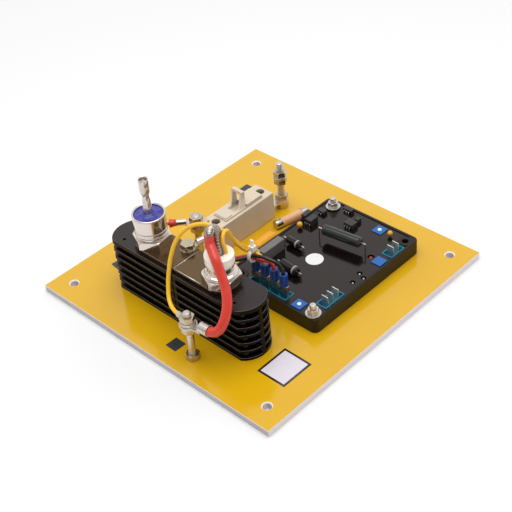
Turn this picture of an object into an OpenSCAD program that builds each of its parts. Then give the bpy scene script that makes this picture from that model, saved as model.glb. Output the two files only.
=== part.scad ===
/* [Base plate] */
// Side of the square laminate plate
plate_w = 250; // [240:1:300]
// Thickness of the plate
plate_t = 6; // [5:0.5:12]
// Distance between neighbouring corner holes
hole_pitch = 216; // [204:1:224]
// Diameter of the corner holes
hole_d = 6.5; // [4:0.1:8]
// Width of the bevel round each corner hole
hole_bevel = 1; // [0.2:0.1:2]

/* [Heat sinks] */
// Length of one heat sink, from its inner end to the tip of its round end
sink_l = 76; // [70:1:90]
// Width of a heat sink
sink_w = 33; // [30:0.5:42]
// Height of a heat sink
sink_h = 49; // [40:1:70]
// Number of fins, counting the top plate
fin_count = 7; // [5:1:9]
// Thickness of a fin
fin_t = 2.4; // [1.5:0.1:3.5]
// Thickness of the top plate
sink_top_t = 4; // [3:0.5:6]
// Width of the solid core behind the fins
core_w = 18; // [16:0.5:24]
// How far the round end bulges past its corners
sink_bulge = 8.8; // [5:0.2:14]
// Width of the upright rib on the round end
rib_w = 3; // [2:0.5:5]
// Gap between the two heat sinks
sink_gap = 0.6; // [0.4:0.1:2]
// Middle of that gap, along X
sink_x = -5.7; // [-9:0.1:-2]
// Centre line of both heat sinks, along Y
sink_y = -70.5; // [-76:0.5:-66]
// Diameter of the small hole in each top plate
pilot_d = 3; // [2:0.5:4]
// Diameter of the screws that hold the heat sinks
sink_screw_d = 5; // [4:0.5:6]
// Width of the plated mounting bars
bar_w = 28; // [24:0.5:30]
// Thickness of the mounting bars
bar_t = 4; // [2:0.5:6]

/* [Stud devices] */
// Distance of each device from the inner end of its heat sink
device_offset = 38; // [32:0.5:42]
// Width across the flats of the device hexagons
device_af = 27; // [24:0.5:30]
// Height of the device hexagons
device_hex_h = 6.5; // [5:0.5:9]
// Diameter of the device studs
device_stud_d = 12; // [10:0.5:14]
// Length of the device studs below the hexagon
device_stud_l = 20; // [14:1:28]
// Outer diameter of the diode's can
can_d = 25.8; // [22:0.2:27]
// Height of the diode's can
can_h = 19.5; // [15:0.5:26]
// Wall of the diode's can
can_wall = 1.3; // [0.8:0.1:2]
// Depth of the blue seal below the rim of the can
seal_drop = 0.8; // [0.4:0.1:1.5]
// Height of the blue seal
seal_h = 10; // [6:0.5:12]
// Outer diameter of the diode's tube lead
stem_d = 7.6; // [6:0.2:9]
// Length of the diode's tube lead above the seal
stem_l = 32; // [24:1:40]
// Diameter of the thyristor's ceramic
ceramic_d = 22.6; // [20:0.2:25]
// Height of the thyristor's ceramic
ceramic_h = 7.6; // [5:0.2:10]
// Height of the thyristor's metal can
thyristor_can_h = 10.5; // [8:0.5:14]
// Diameter of the thyristor's braided lead
braid_d = 7; // [5:0.2:8]
// Length of the thyristor's braided lead up to its turn
braid_l = 16; // [12:1:22]
// Radius of the turn in the braided lead
braid_turn = 3.75; // [3.6:0.05:5]

/* [Terminal studs] */
// Diameter of the terminal studs
stud_d = 6; // [5:0.5:8]
// Height of the terminal studs above the plate
stud_h = 45.5; // [43:0.5:60]
// Width across the flats of the terminal nuts
nut_af = 10; // [9:0.5:13]
// Height of the terminal nuts
nut_h = 5; // [4:0.2:6]
// Diameter of the terminal washers
washer_d = 12; // [11:0.5:14]
// Thickness of washers, lugs and straps
washer_t = 1.2; // [0.8:0.1:1.6]
// Height of the upper stack of nuts above the plate
stack_z = 27; // [22:0.5:27]
// Diameter of the eye of the ring lugs
lug_eye_d = 12; // [11:0.5:14]
// Diameter of the crimped barrel of the ring lugs
barrel_d = 5.2; // [4.8:0.1:6]
// Length of the crimped barrel of the ring lugs
barrel_l = 8; // [6:0.5:10]
// Diameter of the barrel of the heavy lug
heavy_barrel_d = 9.2; // [9:0.1:11]
// Length of the barrel of the heavy lug
heavy_barrel_l = 8; // [6:0.5:16]
// Width of the flat straps at the fuse holder
strap_w = 8; // [7:0.5:9]

/* [Fuse holder] */
// Width of the fuse holder
holder_w = 20.5; // [19:0.5:26]
// Length of the fuse holder
holder_l = 63.5; // [62:0.5:72]
// Height of the fuse holder
holder_h = 26; // [24:0.5:34]
// Centre of the fuse holder, along X
holder_x = -48.5; // [-52:0.5:-46]
// Centre of the fuse holder, along Y
holder_y = 26.3; // [24:0.1:28]
// Diameter of the fuse caps
fuse_cap_d = 10.3; // [8:0.1:11]
// Diameter of the fuse tube
fuse_tube_d = 9.5; // [7:0.1:10]
// Length of the fuse
fuse_l = 38; // [32:0.5:38]
// Thickness of the spring contacts
contact_t = 0.8; // [0.5:0.1:1.2]
// Width of the rim of the pull-out carrier
carrier_lip = 1; // [0.5:0.1:1.8]
// Thickness of the rim of the pull-out carrier
carrier_rim_t = 1.2; // [0.8:0.1:2]
// Width of the finger loop
loop_w = 12; // [11:0.5:13]
// Height of the finger loop
loop_h = 15; // [12:0.5:20]
// Thickness of the finger loop along the holder
loop_t = 6; // [4:0.5:8]
// Wall round the opening of the finger loop
loop_wall = 2.2; // [2:0.1:3]
// Thickness of the finger loop at its top
loop_top_t = 3.2; // [2:0.1:4]

/* [Loose parts] */
// Diameter of the spare fuse's caps
spare_d = 8; // [5:0.1:9]
// Length of the spare fuse
spare_l = 33; // [28:0.5:36]
// Length of each cap on the spare fuse
spare_cap_l = 6; // [4:0.5:8]
// Length of the dipped film capacitor
film_l = 25; // [20:0.5:28]
// Width of the dipped film capacitor
film_w = 11; // [9:0.5:13]
// Height of the dipped film capacitor
film_h = 9; // [7:0.5:13]

/* [Potted module] */
// Width of the module tray
module_w = 95; // [94:0.5:96]
// Length of the module tray
module_l = 127.5; // [126:0.5:134]
// Height of the module tray
module_h = 13; // [11:0.5:20]
// Wall of the module tray
tray_wall = 2.5; // [1.5:0.1:2.6]
// Radius of the tray's upright corners
tray_round = 5; // [2:0.5:6]
// Solid floor of the module tray
tray_floor = 5; // [3:0.5:6]
// Depth of the resin below the rim
resin_drop = 0.8; // [0.3:0.1:1.5]
// Thickness of the circuit board
board_t = 1.6; // [1:0.1:2.4]
// Centre of the module, along X
module_x = 39; // [38:0.1:44]
// Centre of the module, along Y
module_y = 32.5; // [32:0.1:40]
// Diameter of the module bolts
module_bolt_d = 5; // [4:0.5:6]
// Width across the flats of the module nuts
module_nut_af = 8; // [7:0.5:10]
// Height of the module nuts
module_nut_h = 4; // [3:0.2:5]
// Diameter of the module washers
module_washer_d = 12.5; // [10:0.5:13]
// Thickness of the module washers
module_washer_t = 1; // [0.6:0.1:1.6]
// Side of the square trimmers
trimmer_w = 9.5; // [8:0.1:9.6]
// Diameter of the trimmer rotors
rotor_d = 3.4; // [2.6:0.1:6]
// Height of the trimmer rotors
rotor_h = 1.4; // [1:0.1:2]
// Width of the screwdriver slot in the rotors
rotor_slot = 0.6; // [0.5:0.1:1.2]
// Diameter of the power resistor
resistor_d = 9; // [6:0.2:10]
// Length of the power resistor
resistor_l = 36; // [30:0.5:40]
// Height of the power resistor's axis above the resin
resistor_rise = 9.8; // [6:0.2:14]
// Diameter of the component leads
lead_d = 1.2; // [0.8:0.1:1.6]
// Width of the box capacitor
box_cap_w = 7; // [5:0.2:9]
// Length of the box capacitor
box_cap_l = 24; // [18:0.5:26]
// Height of the box capacitor
box_cap_h = 10.5; // [7:0.5:14]
// Width of the blade terminals
blade_w = 6.3; // [4.8:0.1:6.5]
// Thickness of the blade terminals
blade_t = 0.8; // [0.5:0.1:1]
// Height of the blade terminals above the board
blade_h = 12.5; // [10:0.5:15]
// Distance between the blades under the push-on connectors
blade_pitch = 10; // [9:0.1:10.5]
// Diameter of the blue sleeves of the push-on connectors
sleeve_d = 6.6; // [6:0.1:8]
// Length of the blue sleeves of the push-on connectors
sleeve_l = 11; // [9:0.5:16]

/* [Wires] */
// Diameter of the heavy red lead
heavy_lead_d = 7.5; // [6:0.1:8]
// Diameter of the yellow loop wire
loop_wire_d = 3.2; // [2.5:0.1:3.4]
// Diameter of the thin wires
wire_d = 2.8; // [2:0.1:3]
// Width of the cable tie
tie_w = 3; // [2:0.5:5]
// Thickness of the cable tie
tie_t = 1.2; // [0.8:0.1:1.6]
// Inner diameter of the closed cable tie
tie_d = 9; // [8.8:0.1:10]

/* [Hidden] */
$fn = 64;

// Clearances: a piece in its seat, a screw in its hole, a piece that slides or turns
fit = 0.1;
screw_fit = 0.2;
run_fit = 0.3;
// Overshoot of a cut past the face that it opens
cut = 1;

// Levels above the underside of the plate
sink_top = plate_t + sink_h;
seat_z = sink_top + bar_t;
hex_top = seat_z + device_hex_h;
can_top = hex_top + can_h;
ceramic_top = hex_top + thyristor_can_h + ceramic_h;
resin_top = plate_t + module_h - resin_drop;
board_top = plate_t + tray_floor + board_t;
strap_z = plate_t + nut_h + washer_t;
stack_ring_z = plate_t + stack_z + nut_h + washer_t;
rear_stack_z = plate_t + stack_z - 2;
rear_rings = 2;
stud_cut = [0, 3, 0];
holder_top = plate_t + holder_h;

// Heat sinks
sink_end_r = (sink_w * sink_w / 4 + sink_bulge * sink_bulge) / (2 * sink_bulge);
fin_pitch = (sink_h - sink_top_t) / (fin_count - 1);
core_end = (sink_w - core_w) / 2;
diode_offset = device_offset - 1;
diode_x = sink_x - sink_gap / 2 - diode_offset;
thyristor_x = sink_x + sink_gap / 2 + device_offset;
pilot_x = 60;
pilot_y = 10;
sink_screw_inset = 12;
sink_screw_depth = 12;
sink_screw_x = [sink_screw_inset, sink_l - sink_bulge - sink_screw_inset];
bar_bolt_d = 6;
bar_bolt_l = 14;
bar_bolt_af = 10;
bar_bolt_head_h = 5;
bar_bolt_inset = 6.8;
bar_bolt_x = sink_x - sink_gap / 2 - bar_bolt_inset;
bar_bolt_y = 9;
hex_turn = -23;

// Thyristor's braid leans by these angles
braid_lean = [-12, -12, 0];

// Flush screws under the plate
flush_recess = 0.3;
sink_screw_head = 9;
stud_head = 11;
module_bolt_head = 9;

// Terminal studs: front, middle and rear
stud_at = [[31.5, -107], [-50.5, -19], [-44.5, 74]];
front_stud = 0;
middle_stud = 1;
rear_stud = 2;
lug_reach = 8;
heavy_reach = 13;
loop_reach = 6.8;
loop_barrel_l = 4;
heavy_eye_d = 14;
heavy_turn = 4;
loop_turn = 174;
link_turn = 227;
bar_lug_turn = 78;

// Fuse holder: the well takes the fuse, its contacts and the carrier
contact_w = 8;
contact_h = 11;
well_end = 2;
well_l = fuse_l + 2 * well_end;
well_w = fuse_cap_d + 2 * (run_fit + contact_t + run_fit) + 0.5;
well_floor = plate_t + 4;
fuse_z = well_floor + contact_t + run_fit + fuse_cap_d / 2;
fuse_cap_l = 9.5;
carrier_plug_h = 6;
hanger_t = 4;
hanger_wall = 1.5;
hanger_y = 6;
carrier_w = well_w - 2 * run_fit;
carrier_l = well_l - 2 * run_fit;
carrier_rim_top = holder_top + carrier_rim_t;
loop_gap = loop_w - 2 * loop_wall;
step_near = 21;
step_far = 13.5;
loop_flare = 1.5;
scoop_y = loop_t / 2 + loop_flare + 4;
scoop_h = 2.6;
step_h = 1.2;
screw_well_d = 7.4;
holder_screw_d = 4;
holder_screw_head_d = 6.8;
holder_screw_head_h = 3;
holder_screw_y = (holder_l + well_l) / 4;
strap_eye_d = strap_w + 0.4;
strap_slot_w = strap_w + 7;
strap_slot_start = holder_screw_y - strap_eye_d / 2 - run_fit;

// Loose parts: centre of each, the turn of the spare fuse, and room between capacitor and module
spare_at = [-23, 62.3];
spare_turn = -13.4;
spare_tube_d = spare_d - 0.3;
film_room = 4.5;
film_at = [module_x - module_w / 2 - film_room - film_w / 2, 24];
film_round = 3.8;

// Potted module: places are measured from its middle, in from its edges
module_left = -module_w / 2;
module_right = module_w / 2;
module_near = -module_l / 2;
module_far = module_l / 2;
hole_left = module_left + 11.3;
hole_right = module_right - 7.6;
hole_near = module_near + 6.6;
hole_far = module_far - 9;
module_bolt_at = [[hole_left, hole_far], [hole_right, hole_near]];
boss_d = 12;
tray_top = plate_t + module_h;
module_bolt_rise = 4;
blade_row = [-22, module_near + 9.75];
blade_count = 4;
near_blades = [module_right - 9, module_near + 27.8];
near_blade_pitch = 6;
near_blade_count = 3;
right_blades = [module_right - 8, module_far - 24.2];
right_blade_pitch = 6.5;
right_blade_count = 2;
window_margin = 2;
window_w = 10.5;
near_trimmer = [module_right - 23.2, module_near + 8];
far_trimmer = [module_right - 33, module_far - 10];
plain_block = [module_right - 8, module_far - 41.8];
windows = [
    [
        blade_row + [(blade_count - 1) * blade_pitch / 2, 0],
        [(blade_count - 1) * blade_pitch + blade_w + 2 * window_margin, window_w]
    ],
    [near_blades, [window_w, (near_blade_count - 1) * near_blade_pitch + blade_w + 2 * window_margin]],
    [right_blades, [window_w, (right_blade_count - 1) * right_blade_pitch + blade_w + 2 * window_margin]]
];
dam_t = 0.8;
dam_rise = 0.5;
trimmer_rise = 0.8;
rotor_recess = 1;
lamp_at = [module_right - 17, module_far - 41];
lamp_d = 5;
lamp_h = 5.5;
post_at = [
    [module_right - 11, module_near + 65.2],
    [module_right - 5, module_near + 62.8],
    [module_right - 8.2, module_near + 53.5]
];
post_d = 1.8;
pit_d = 4.4;
post_h = 5;
resistor_at = [module_right - 44.3, module_far - 44];
resistor_turn = 7.5;
resistor_overhang = 4;
rectifier_at = [[module_left + 21, module_near + 58.5], [-8, module_near + 32.8]];
rectifier_d = [6.4, 7.6];
rectifier_l = [15, 19];
rectifier_rise = 4.6;
rectifier_overhang = 3.4;
rectifier_turn = [-2, -4];
box_cap_at = [module_left + 13.8, module_near + 39.8];
block_at = [
    [module_left + 11.4, module_far - 36.8],
    [module_left + 5.3, module_far - 35.6],
    [module_left + 9.5, module_far - 20.8],
    [module_left + 25.5, module_far - 5.8],
    [-7.4, module_far - 20.6],
    [-6.6, module_far - 12.2]
];
block_size = [[7, 9, 6], [4.4, 9, 7.5], [7, 5, 3.6], [9, 4.4, 3.6], [9, 7.5, 5], [4, 4.4, 4]];
bead_at = [[module_left + 8, module_far - 47.4], [module_right - 21.3, module_far - 11.2]];
bead_d = [5, 4.4];
bead_rise = 3.4;
receptacle_w = 7.6;
receptacle_t = 3;
receptacle_gap = 2;
receptacle_rise = 3;

// Cable tie: where the bundle passes through it
tie_at = [20.5, -26, 47.2];
tie_head = 4.6;
tie_tail_l = 10;

// Routes of the wires
red_lead_route = [
    [29, -74.5, 100.4],
    [30.3, -75.8, 94.6],
    [34.7, -78, 91],
    [40.9, -81, 87],
    [45.9, -82.8, 79.9],
    [51.5, -85, 73],
    [57, -89, 66],
    [60.5, -94, 59],
    [61.5, -99, 52.5],
    [59.5, -103, 46.6],
    [54.5, -105.3, 43.9],
    [46, -106, 43.8]
];
yellow_loop_route = [
    [28.5, -67.5, 100.5],
    [23.5, -68.3, 103.2],
    [17, -71, 102.6],
    [11, -74.4, 100.2],
    [6, -78, 96],
    [2, -82.5, 88.5],
    [-0.2, -87.5, 77.5],
    [-0.4, -92, 65],
    [2, -97, 53.5],
    [8, -102.4, 45.6],
    [15.6, -105.3, 43],
    [22.6, -106.1, 43]
];
gate_wire_route = [
    [36.8, -66.9, 83.6],
    [36.9, -68, 89],
    [36.2, -68.4, 94],
    [34.6, -66, 98.6],
    [32.8, -61.4, 98.4],
    [30.4, -56.4, 91.6],
    [25.7, -48.6, 77.4],
    [21.4, -39.6, 65],
    [18, -31.6, 54.8],
    [17.6, -27.2, 50.6],
    [20.5, -24.5, 49.2],
    [24.4, -22.8, 47],
    [26.7, -21.7, 43.6],
    [27, -21.5, 40.4],
    [27, -21.5, 34]
];
sense_wire_route = [
    [30.5, -67.5, 95],
    [28.6, -63.6, 97.2],
    [26.4, -59, 94.2],
    [23.6, -52, 85.2],
    [20.4, -43.6, 73.4],
    [17, -34.4, 61],
    [14.4, -27.6, 53],
    [14.6, -23.8, 48.4],
    [16.4, -21.9, 44],
    [17, -21.5, 40.4],
    [17, -21.5, 34]
];
red_wire_route = [
    [-58.7, -27.8, 43],
    [-64.1, -33.6, 43],
    [-68.4, -38.2, 42],
    [-71.5, -42, 38.5],
    [-72, -44.5, 31],
    [-67, -46, 24],
    [-56, -46, 20.8],
    [-40, -46, 21.4],
    [-20, -46, 28],
    [-6, -43.5, 35.6],
    [2, -38.5, 40.4],
    [8.5, -34, 43.5],
    [12.9, -31, 45],
    [17, -28, 45.6],
    [20.5, -26.3, 45.2],
    [25.5, -26, 45],
    [30.5, -25, 46],
    [34.4, -23, 46],
    [36.6, -21.9, 43.4],
    [37, -21.5, 40.4],
    [37, -21.5, 34]
];
black_wire_route = [
    [-10.8, -52.2, 61.6],
    [-9.3, -44.9, 61.6],
    [-6.4, -42.4, 59.4],
    [0, -41, 53.4],
    [6, -39.5, 47.6],
    [11.5, -37, 45],
    [15.5, -33.4, 45.6],
    [20.5, -28.6, 47.6],
    [25.5, -28.2, 50],
    [31, -27.2, 51.4],
    [37.5, -25.4, 50.8],
    [43, -23.2, 48.4],
    [46.3, -21.9, 44.6],
    [47, -21.5, 40.6],
    [47, -21.5, 34]
];
cord_sides = 8;

// Shared shapes
module hexagon(flats, height) {
    cylinder(d = flats / cos(30), h = height, $fn = 6);
}

module flush_screw(d, length, head_d) {
    translate([0, 0, flush_recess]) {
        cylinder(d = d, h = length - flush_recess);
        cylinder(d1 = head_d, d2 = d, h = (head_d - d) / 2);
    }
}

module flush_hole(d, head_d) {
    bore_d = d + 2 * screw_fit;
    mouth_d = head_d + 2 * (screw_fit + flush_recess);
    translate([0, 0, -cut])
        cylinder(d = bore_d, h = plate_t + 2 * cut);
    cylinder(d1 = mouth_d, d2 = bore_d, h = (mouth_d - bore_d) / 2);
}

// Slab with round upright corners, standing on the origin's level
module round_slab(size, round) {
    for (x = [-1, 1], y = [-1, 1])
        translate([x * (size.x / 2 - round), y * (size.y / 2 - round), 0])
            cylinder(r = round, h = size.z);
    translate([round - size.x / 2, -size.y / 2, 0])
        cube([size.x - 2 * round, size.y, size.z]);
    translate([-size.x / 2, round - size.y / 2, 0])
        cube([size.x, size.y - 2 * round, size.z]);
}

module rounded_box(size, round) {
    hull()
        for (x = [-1, 1], y = [-1, 1], z = [-1, 1])
            translate([x * (size.x / 2 - round), y * (size.y / 2 - round), z * (size.z / 2 - round)])
                sphere(r = round, $fn = 24);
}

// A ring lug lies with its eye round the origin and its barrel along +X
module ring_lug(eye_d, bore_d, tube_d, tube_l, wire, reach) {
    tongue_w = min(tube_d, eye_d / 2);
    difference() {
        union() {
            cylinder(d = eye_d, h = washer_t);
            translate([0, -tongue_w / 2, 0])
                cube([reach + 1, tongue_w, washer_t]);
            translate([reach, 0, tube_d / 2])
                rotate([0, 90, 0])
                    cylinder(d = tube_d, h = tube_l);
        }
        translate([0, 0, -cut])
            cylinder(d = bore_d, h = washer_t + 2 * cut);
        translate([reach + 1, 0, tube_d / 2])
            rotate([0, 90, 0])
                cylinder(d = wire + 2 * screw_fit, h = tube_l);
    }
}

// A cord is a tube swept along its route, with one ring at each point
function unit(v) = v / norm(v);

function heading(route, i) =
    unit(route[min(i + 1, len(route) - 1)] - route[max(i - 1, 0)]);

function square_to(v, along) = unit(v - (v * along) * along);

function first_side(along) =
    square_to(abs(along.z) < 0.9 ? [0, 0, 1] : [1, 0, 0], along);

function sides_along(route) = [
    for (
        i = 0, side = first_side(heading(route, 0));
        i < len(route);
        i = i + 1,
        side = i < len(route) ? square_to(side, heading(route, i)) : side
    ) side
];

module cord(route, d) {
    sides = sides_along(route);
    points = [
        for (i = [0 : len(route) - 1], k = [0 : cord_sides - 1])
            let (across = cross(heading(route, i), sides[i]), turn = 360 * k / cord_sides)
                route[i] + d / 2 * (cos(turn) * sides[i] + sin(turn) * across)
    ];
    last = (len(route) - 1) * cord_sides;
    walls = [
        for (i = [0 : len(route) - 2], k = [0 : cord_sides - 1])
            let (a = i * cord_sides, b = a + cord_sides, n = (k + 1) % cord_sides)
                [a + k, b + k, b + n, a + n]
    ];
    near_end = [for (k = [0 : cord_sides - 1]) k];
    far_end = [for (k = [cord_sides - 1 : -1 : 0]) last + k];
    polyhedron(points, concat(walls, [near_end, far_end]));
}

module at_diode_sink() {
    translate([sink_x - sink_gap / 2, sink_y, plate_t])
        mirror([1, 0, 0])
            children();
}

module at_thyristor_sink() {
    translate([sink_x + sink_gap / 2, sink_y, plate_t])
        children();
}

module at_diode(level) {
    translate([diode_x, sink_y, level])
        children();
}

module at_thyristor(level) {
    translate([thyristor_x, sink_y, level])
        children();
}

module at_stud(index, level) {
    translate([stud_at[index].x, stud_at[index].y, level])
        children();
}

module at_holder(level) {
    translate([holder_x, holder_y, level])
        children();
}

module at_module(place, level) {
    translate([module_x + place.x, module_y + place.y, level])
        children();
}

// Base plate of glass laminate, with bevelled corner holes and flush screw holes
module base_plate() {
    color("goldenrod")
        difference() {
            translate([-plate_w / 2, -plate_w / 2, 0])
                cube([plate_w, plate_w, plate_t]);
            for (x = [-1, 1], y = [-1, 1])
                translate([x * hole_pitch / 2, y * hole_pitch / 2, 0]) {
                    translate([0, 0, -cut])
                        cylinder(d = hole_d, h = plate_t + 2 * cut);
                    translate([0, 0, plate_t - hole_bevel])
                        cylinder(d1 = hole_d, d2 = hole_d + 2 * hole_bevel, h = hole_bevel);
                }
            for (place = stud_at)
                translate([place.x, place.y, 0])
                    flush_hole(stud_d, stud_head);
            for (place = module_bolt_at)
                at_module(place, 0)
                    flush_hole(module_bolt_d, module_bolt_head);
            for (x = sink_screw_x) {
                translate([sink_x - sink_gap / 2 - x, sink_y, 0])
                    flush_hole(sink_screw_d, sink_screw_head);
                translate([sink_x + sink_gap / 2 + x, sink_y, 0])
                    flush_hole(sink_screw_d, sink_screw_head);
            }
            for (side = [-1, 1])
                translate([holder_x, holder_y + side * holder_screw_y, -cut])
                    cylinder(d = holder_screw_d + 2 * fit, h = plate_t + 2 * cut);
        }
}

// One finned heat sink: its inner end is at x = 0 and its round end points along +X
module sink_slab(thickness) {
    translate([0, -sink_w / 2, 0])
        cube([sink_l - sink_bulge, sink_w, thickness]);
    intersection() {
        translate([sink_l - 2 * sink_bulge, -sink_w / 2, 0])
            cube([2 * sink_bulge, sink_w, thickness]);
        translate([sink_l - sink_end_r, 0, 0])
            cylinder(r = sink_end_r, h = thickness);
    }
}

module sink_body(offset) {
    difference() {
        union() {
            for (level = [0 : fin_count - 2])
                translate([0, 0, level * fin_pitch])
                    sink_slab(fin_t);
            translate([0, 0, sink_h - sink_top_t])
                sink_slab(sink_top_t);
            translate([0, -core_w / 2, 0])
                cube([sink_l - core_end, core_w, sink_h]);
            intersection() {
                sink_slab(sink_h);
                translate([0, -rib_w / 2, 0])
                    cube([sink_l, rib_w, sink_h]);
            }
        }
        translate([offset, 0, sink_h + bar_t - device_stud_l - cut])
            cylinder(d = device_stud_d + 2 * fit, h = device_stud_l + 2 * cut);
        for (x = sink_screw_x)
            translate([x, 0, -cut])
                cylinder(d = sink_screw_d + 2 * fit, h = sink_screw_depth + 2 * cut);
        translate([pilot_x, -pilot_y, sink_h - sink_top_t - cut])
            cylinder(d = pilot_d, h = sink_top_t + 2 * cut);
    }
}

module heatsink_diode() {
    color("#1c1b1c")
        difference() {
            at_diode_sink()
                sink_body(diode_offset);
            translate([bar_bolt_x, sink_y + bar_bolt_y, seat_z - bar_bolt_l - cut])
                cylinder(d = bar_bolt_d + 2 * fit, h = bar_bolt_l + 2 * cut);
        }
}

module heatsink_thyristor() {
    color("#1c1b1c")
        at_thyristor_sink()
            sink_body(device_offset);
}

module heatsink_screws() {
    color("silver")
        for (x = sink_screw_x) {
            translate([sink_x - sink_gap / 2 - x, sink_y, 0])
                flush_screw(sink_screw_d, plate_t + sink_screw_depth, sink_screw_head);
            translate([sink_x + sink_gap / 2 + x, sink_y, 0])
                flush_screw(sink_screw_d, plate_t + sink_screw_depth, sink_screw_head);
        }
}

// Plated bar under a device: square at the split, round at the device
module mounting_bar(offset) {
    difference() {
        union() {
            translate([0, -bar_w / 2, 0])
                cube([offset, bar_w, bar_t]);
            translate([offset, 0, 0])
                cylinder(d = bar_w, h = bar_t);
        }
        translate([offset, 0, -cut])
            cylinder(d = device_stud_d + 2 * screw_fit, h = bar_t + 2 * cut);
    }
}

module diode_bar() {
    color("#b7aba0")
        difference() {
            translate([0, 0, sink_h])
                at_diode_sink()
                    mounting_bar(diode_offset);
            translate([bar_bolt_x, sink_y + bar_bolt_y, sink_top - cut])
                cylinder(d = bar_bolt_d + 2 * screw_fit, h = bar_t + 2 * cut);
        }
}

module thyristor_bar() {
    color("#b7aba0")
        translate([0, 0, sink_h])
            at_thyristor_sink()
                mounting_bar(device_offset);
}

// Turned device base: bevelled hexagon and threaded stud
module device_base() {
    bevel_d = device_af / cos(30);
    intersection() {
        rotate([0, 0, hex_turn])
            hexagon(device_af, device_hex_h);
        cylinder(d1 = bevel_d + 2 * device_hex_h - 2, d2 = bevel_d - 2, h = device_hex_h);
    }
    translate([0, 0, -device_stud_l])
        cylinder(d = device_stud_d, h = device_stud_l + cut);
}

module diode_base() {
    color("#cfc4b8")
        at_diode(seat_z)
            device_base();
}

// Rolled can of the diode, open at the top for the seal
module diode_can() {
    r = can_d / 2;
    bead = 1.2;
    foot_h = 2.2;
    waist_h = 1.6;
    roll_h = 2.4;
    color("#d6ccc2")
        at_diode(hex_top)
            difference() {
                rotate_extrude()
                    polygon([
                        [0, 0],
                        [r - bead / 2, 0],
                        [r - bead / 2, foot_h],
                        [r - bead, foot_h + bead / 2],
                        [r - bead, foot_h + waist_h],
                        [r, foot_h + waist_h + bead / 2],
                        [r, foot_h + waist_h + roll_h],
                        [r - bead / 2, foot_h + waist_h + roll_h + bead / 2],
                        [r, foot_h + waist_h + roll_h + bead],
                        [r, can_h - bead / 4],
                        [r - bead / 4, can_h],
                        [0, can_h]
                    ]);
                translate([0, 0, can_h - seal_drop - seal_h])
                    cylinder(r = r - can_wall, h = seal_h + seal_drop + cut);
            }
}

// Blue potting in the can, with a low collar round the tube lead
module diode_seal() {
    collar_d = stem_d + 3;
    collar_h = 1.2;
    color("#3b3fa0")
        at_diode(can_top - seal_drop - seal_h)
            difference() {
                union() {
                    cylinder(r = can_d / 2 - can_wall - fit, h = seal_h);
                    translate([0, 0, seal_h])
                        cylinder(d1 = collar_d, d2 = stem_d + 1, h = collar_h);
                }
                translate([0, 0, seal_h / 2])
                    cylinder(d = stem_d + 2 * fit, h = seal_h);
            }
}

// Crimped tube lead of the diode, with an open end and flattened bands
module diode_stem() {
    r = stem_d / 2;
    dent = 0.5;
    band = 1.4;
    root = seal_h / 2;
    bore_depth = 7;
    bore_wall = 0.8;
    flat_w = stem_d - 1;
    flat_h = 7;
    flat_z = root + 9;
    color("#cdbfb2")
        at_diode(can_top - seal_drop - root)
            difference() {
                rotate_extrude()
                    polygon([
                        [0, 0],
                        [r, 0],
                        [r, root + 3],
                        [r - dent, root + 3 + dent],
                        [r - dent, root + 3 + band],
                        [r, root + 3 + band + dent],
                        [r, root + stem_l - 9],
                        [r - dent, root + stem_l - 9 + dent],
                        [r - dent, root + stem_l - 9 + band],
                        [r, root + stem_l - 9 + band + dent],
                        [r, root + stem_l - 0.4],
                        [r - 0.4, root + stem_l],
                        [0, root + stem_l]
                    ]);
                translate([0, 0, root + stem_l - bore_depth])
                    cylinder(r = r - bore_wall, h = bore_depth + cut);
                for (side = [0, 180])
                    rotate([0, 0, side - 45])
                        translate([flat_w / 2, -r, flat_z])
                            cube([r, stem_d, flat_h]);
            }
}

module thyristor_base() {
    color("#cfc4b8")
        at_thyristor(seat_z)
            device_base();
}

// Turned can of the thyristor: flared foot, waist and a lip under the ceramic
module thyristor_can() {
    foot_r = device_af / 2 - 0.8;
    waist_r = ceramic_d / 2 - 1.6;
    lip_r = ceramic_d / 2 - 0.3;
    h = thyristor_can_h;
    color("#d6ccc2")
        at_thyristor(hex_top)
            rotate_extrude()
                polygon([
                    [0, 0],
                    [foot_r, 0],
                    [foot_r, 1.4],
                    [foot_r - 0.8, 2.2],
                    [waist_r + 0.8, 2.6],
                    [waist_r, 3.6],
                    [waist_r, h - 3],
                    [lip_r, h - 1.8],
                    [lip_r, h],
                    [0, h]
                ]);
}

// White ceramic with a rounded edge, a raised ring and a bore for the braid
module thyristor_ceramic() {
    r = ceramic_d / 2;
    edge = 1;
    ring_r = braid_d / 2 + 0.8;
    ring_h = 1.4;
    color("#f0ece0")
        at_thyristor(hex_top + thyristor_can_h)
            rotate_extrude()
                polygon([
                    [0, 0],
                    [r - edge / 2, 0],
                    [r, edge / 2],
                    [r, ceramic_h - edge],
                    [r - 0.3 * edge, ceramic_h - 0.3 * edge],
                    [r - edge, ceramic_h],
                    [ring_r, ceramic_h],
                    [ring_r - 0.4, ceramic_h - ring_h],
                    [0, ceramic_h - ring_h]
                ]);
}

// Tinned braid of the thyristor: it leans out of the ceramic and turns back over
module thyristor_braid() {
    r = braid_d / 2;
    foot = 1.4;
    color("#c9bcb0")
        difference() {
            at_thyristor(ceramic_top)
                rotate(braid_lean) {
                    translate([0, 0, -2 * foot])
                        cylinder(r = r, h = braid_l + 2 * foot);
                    translate([0, -braid_turn, braid_l])
                        rotate([90, 0, 90])
                            rotate_extrude(angle = 180)
                                translate([braid_turn, 0])
                                    circle(r = r);
                }
            at_thyristor(ceramic_top - foot - 10)
                cylinder(r = 3 * r, h = 10);
        }
}

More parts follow.
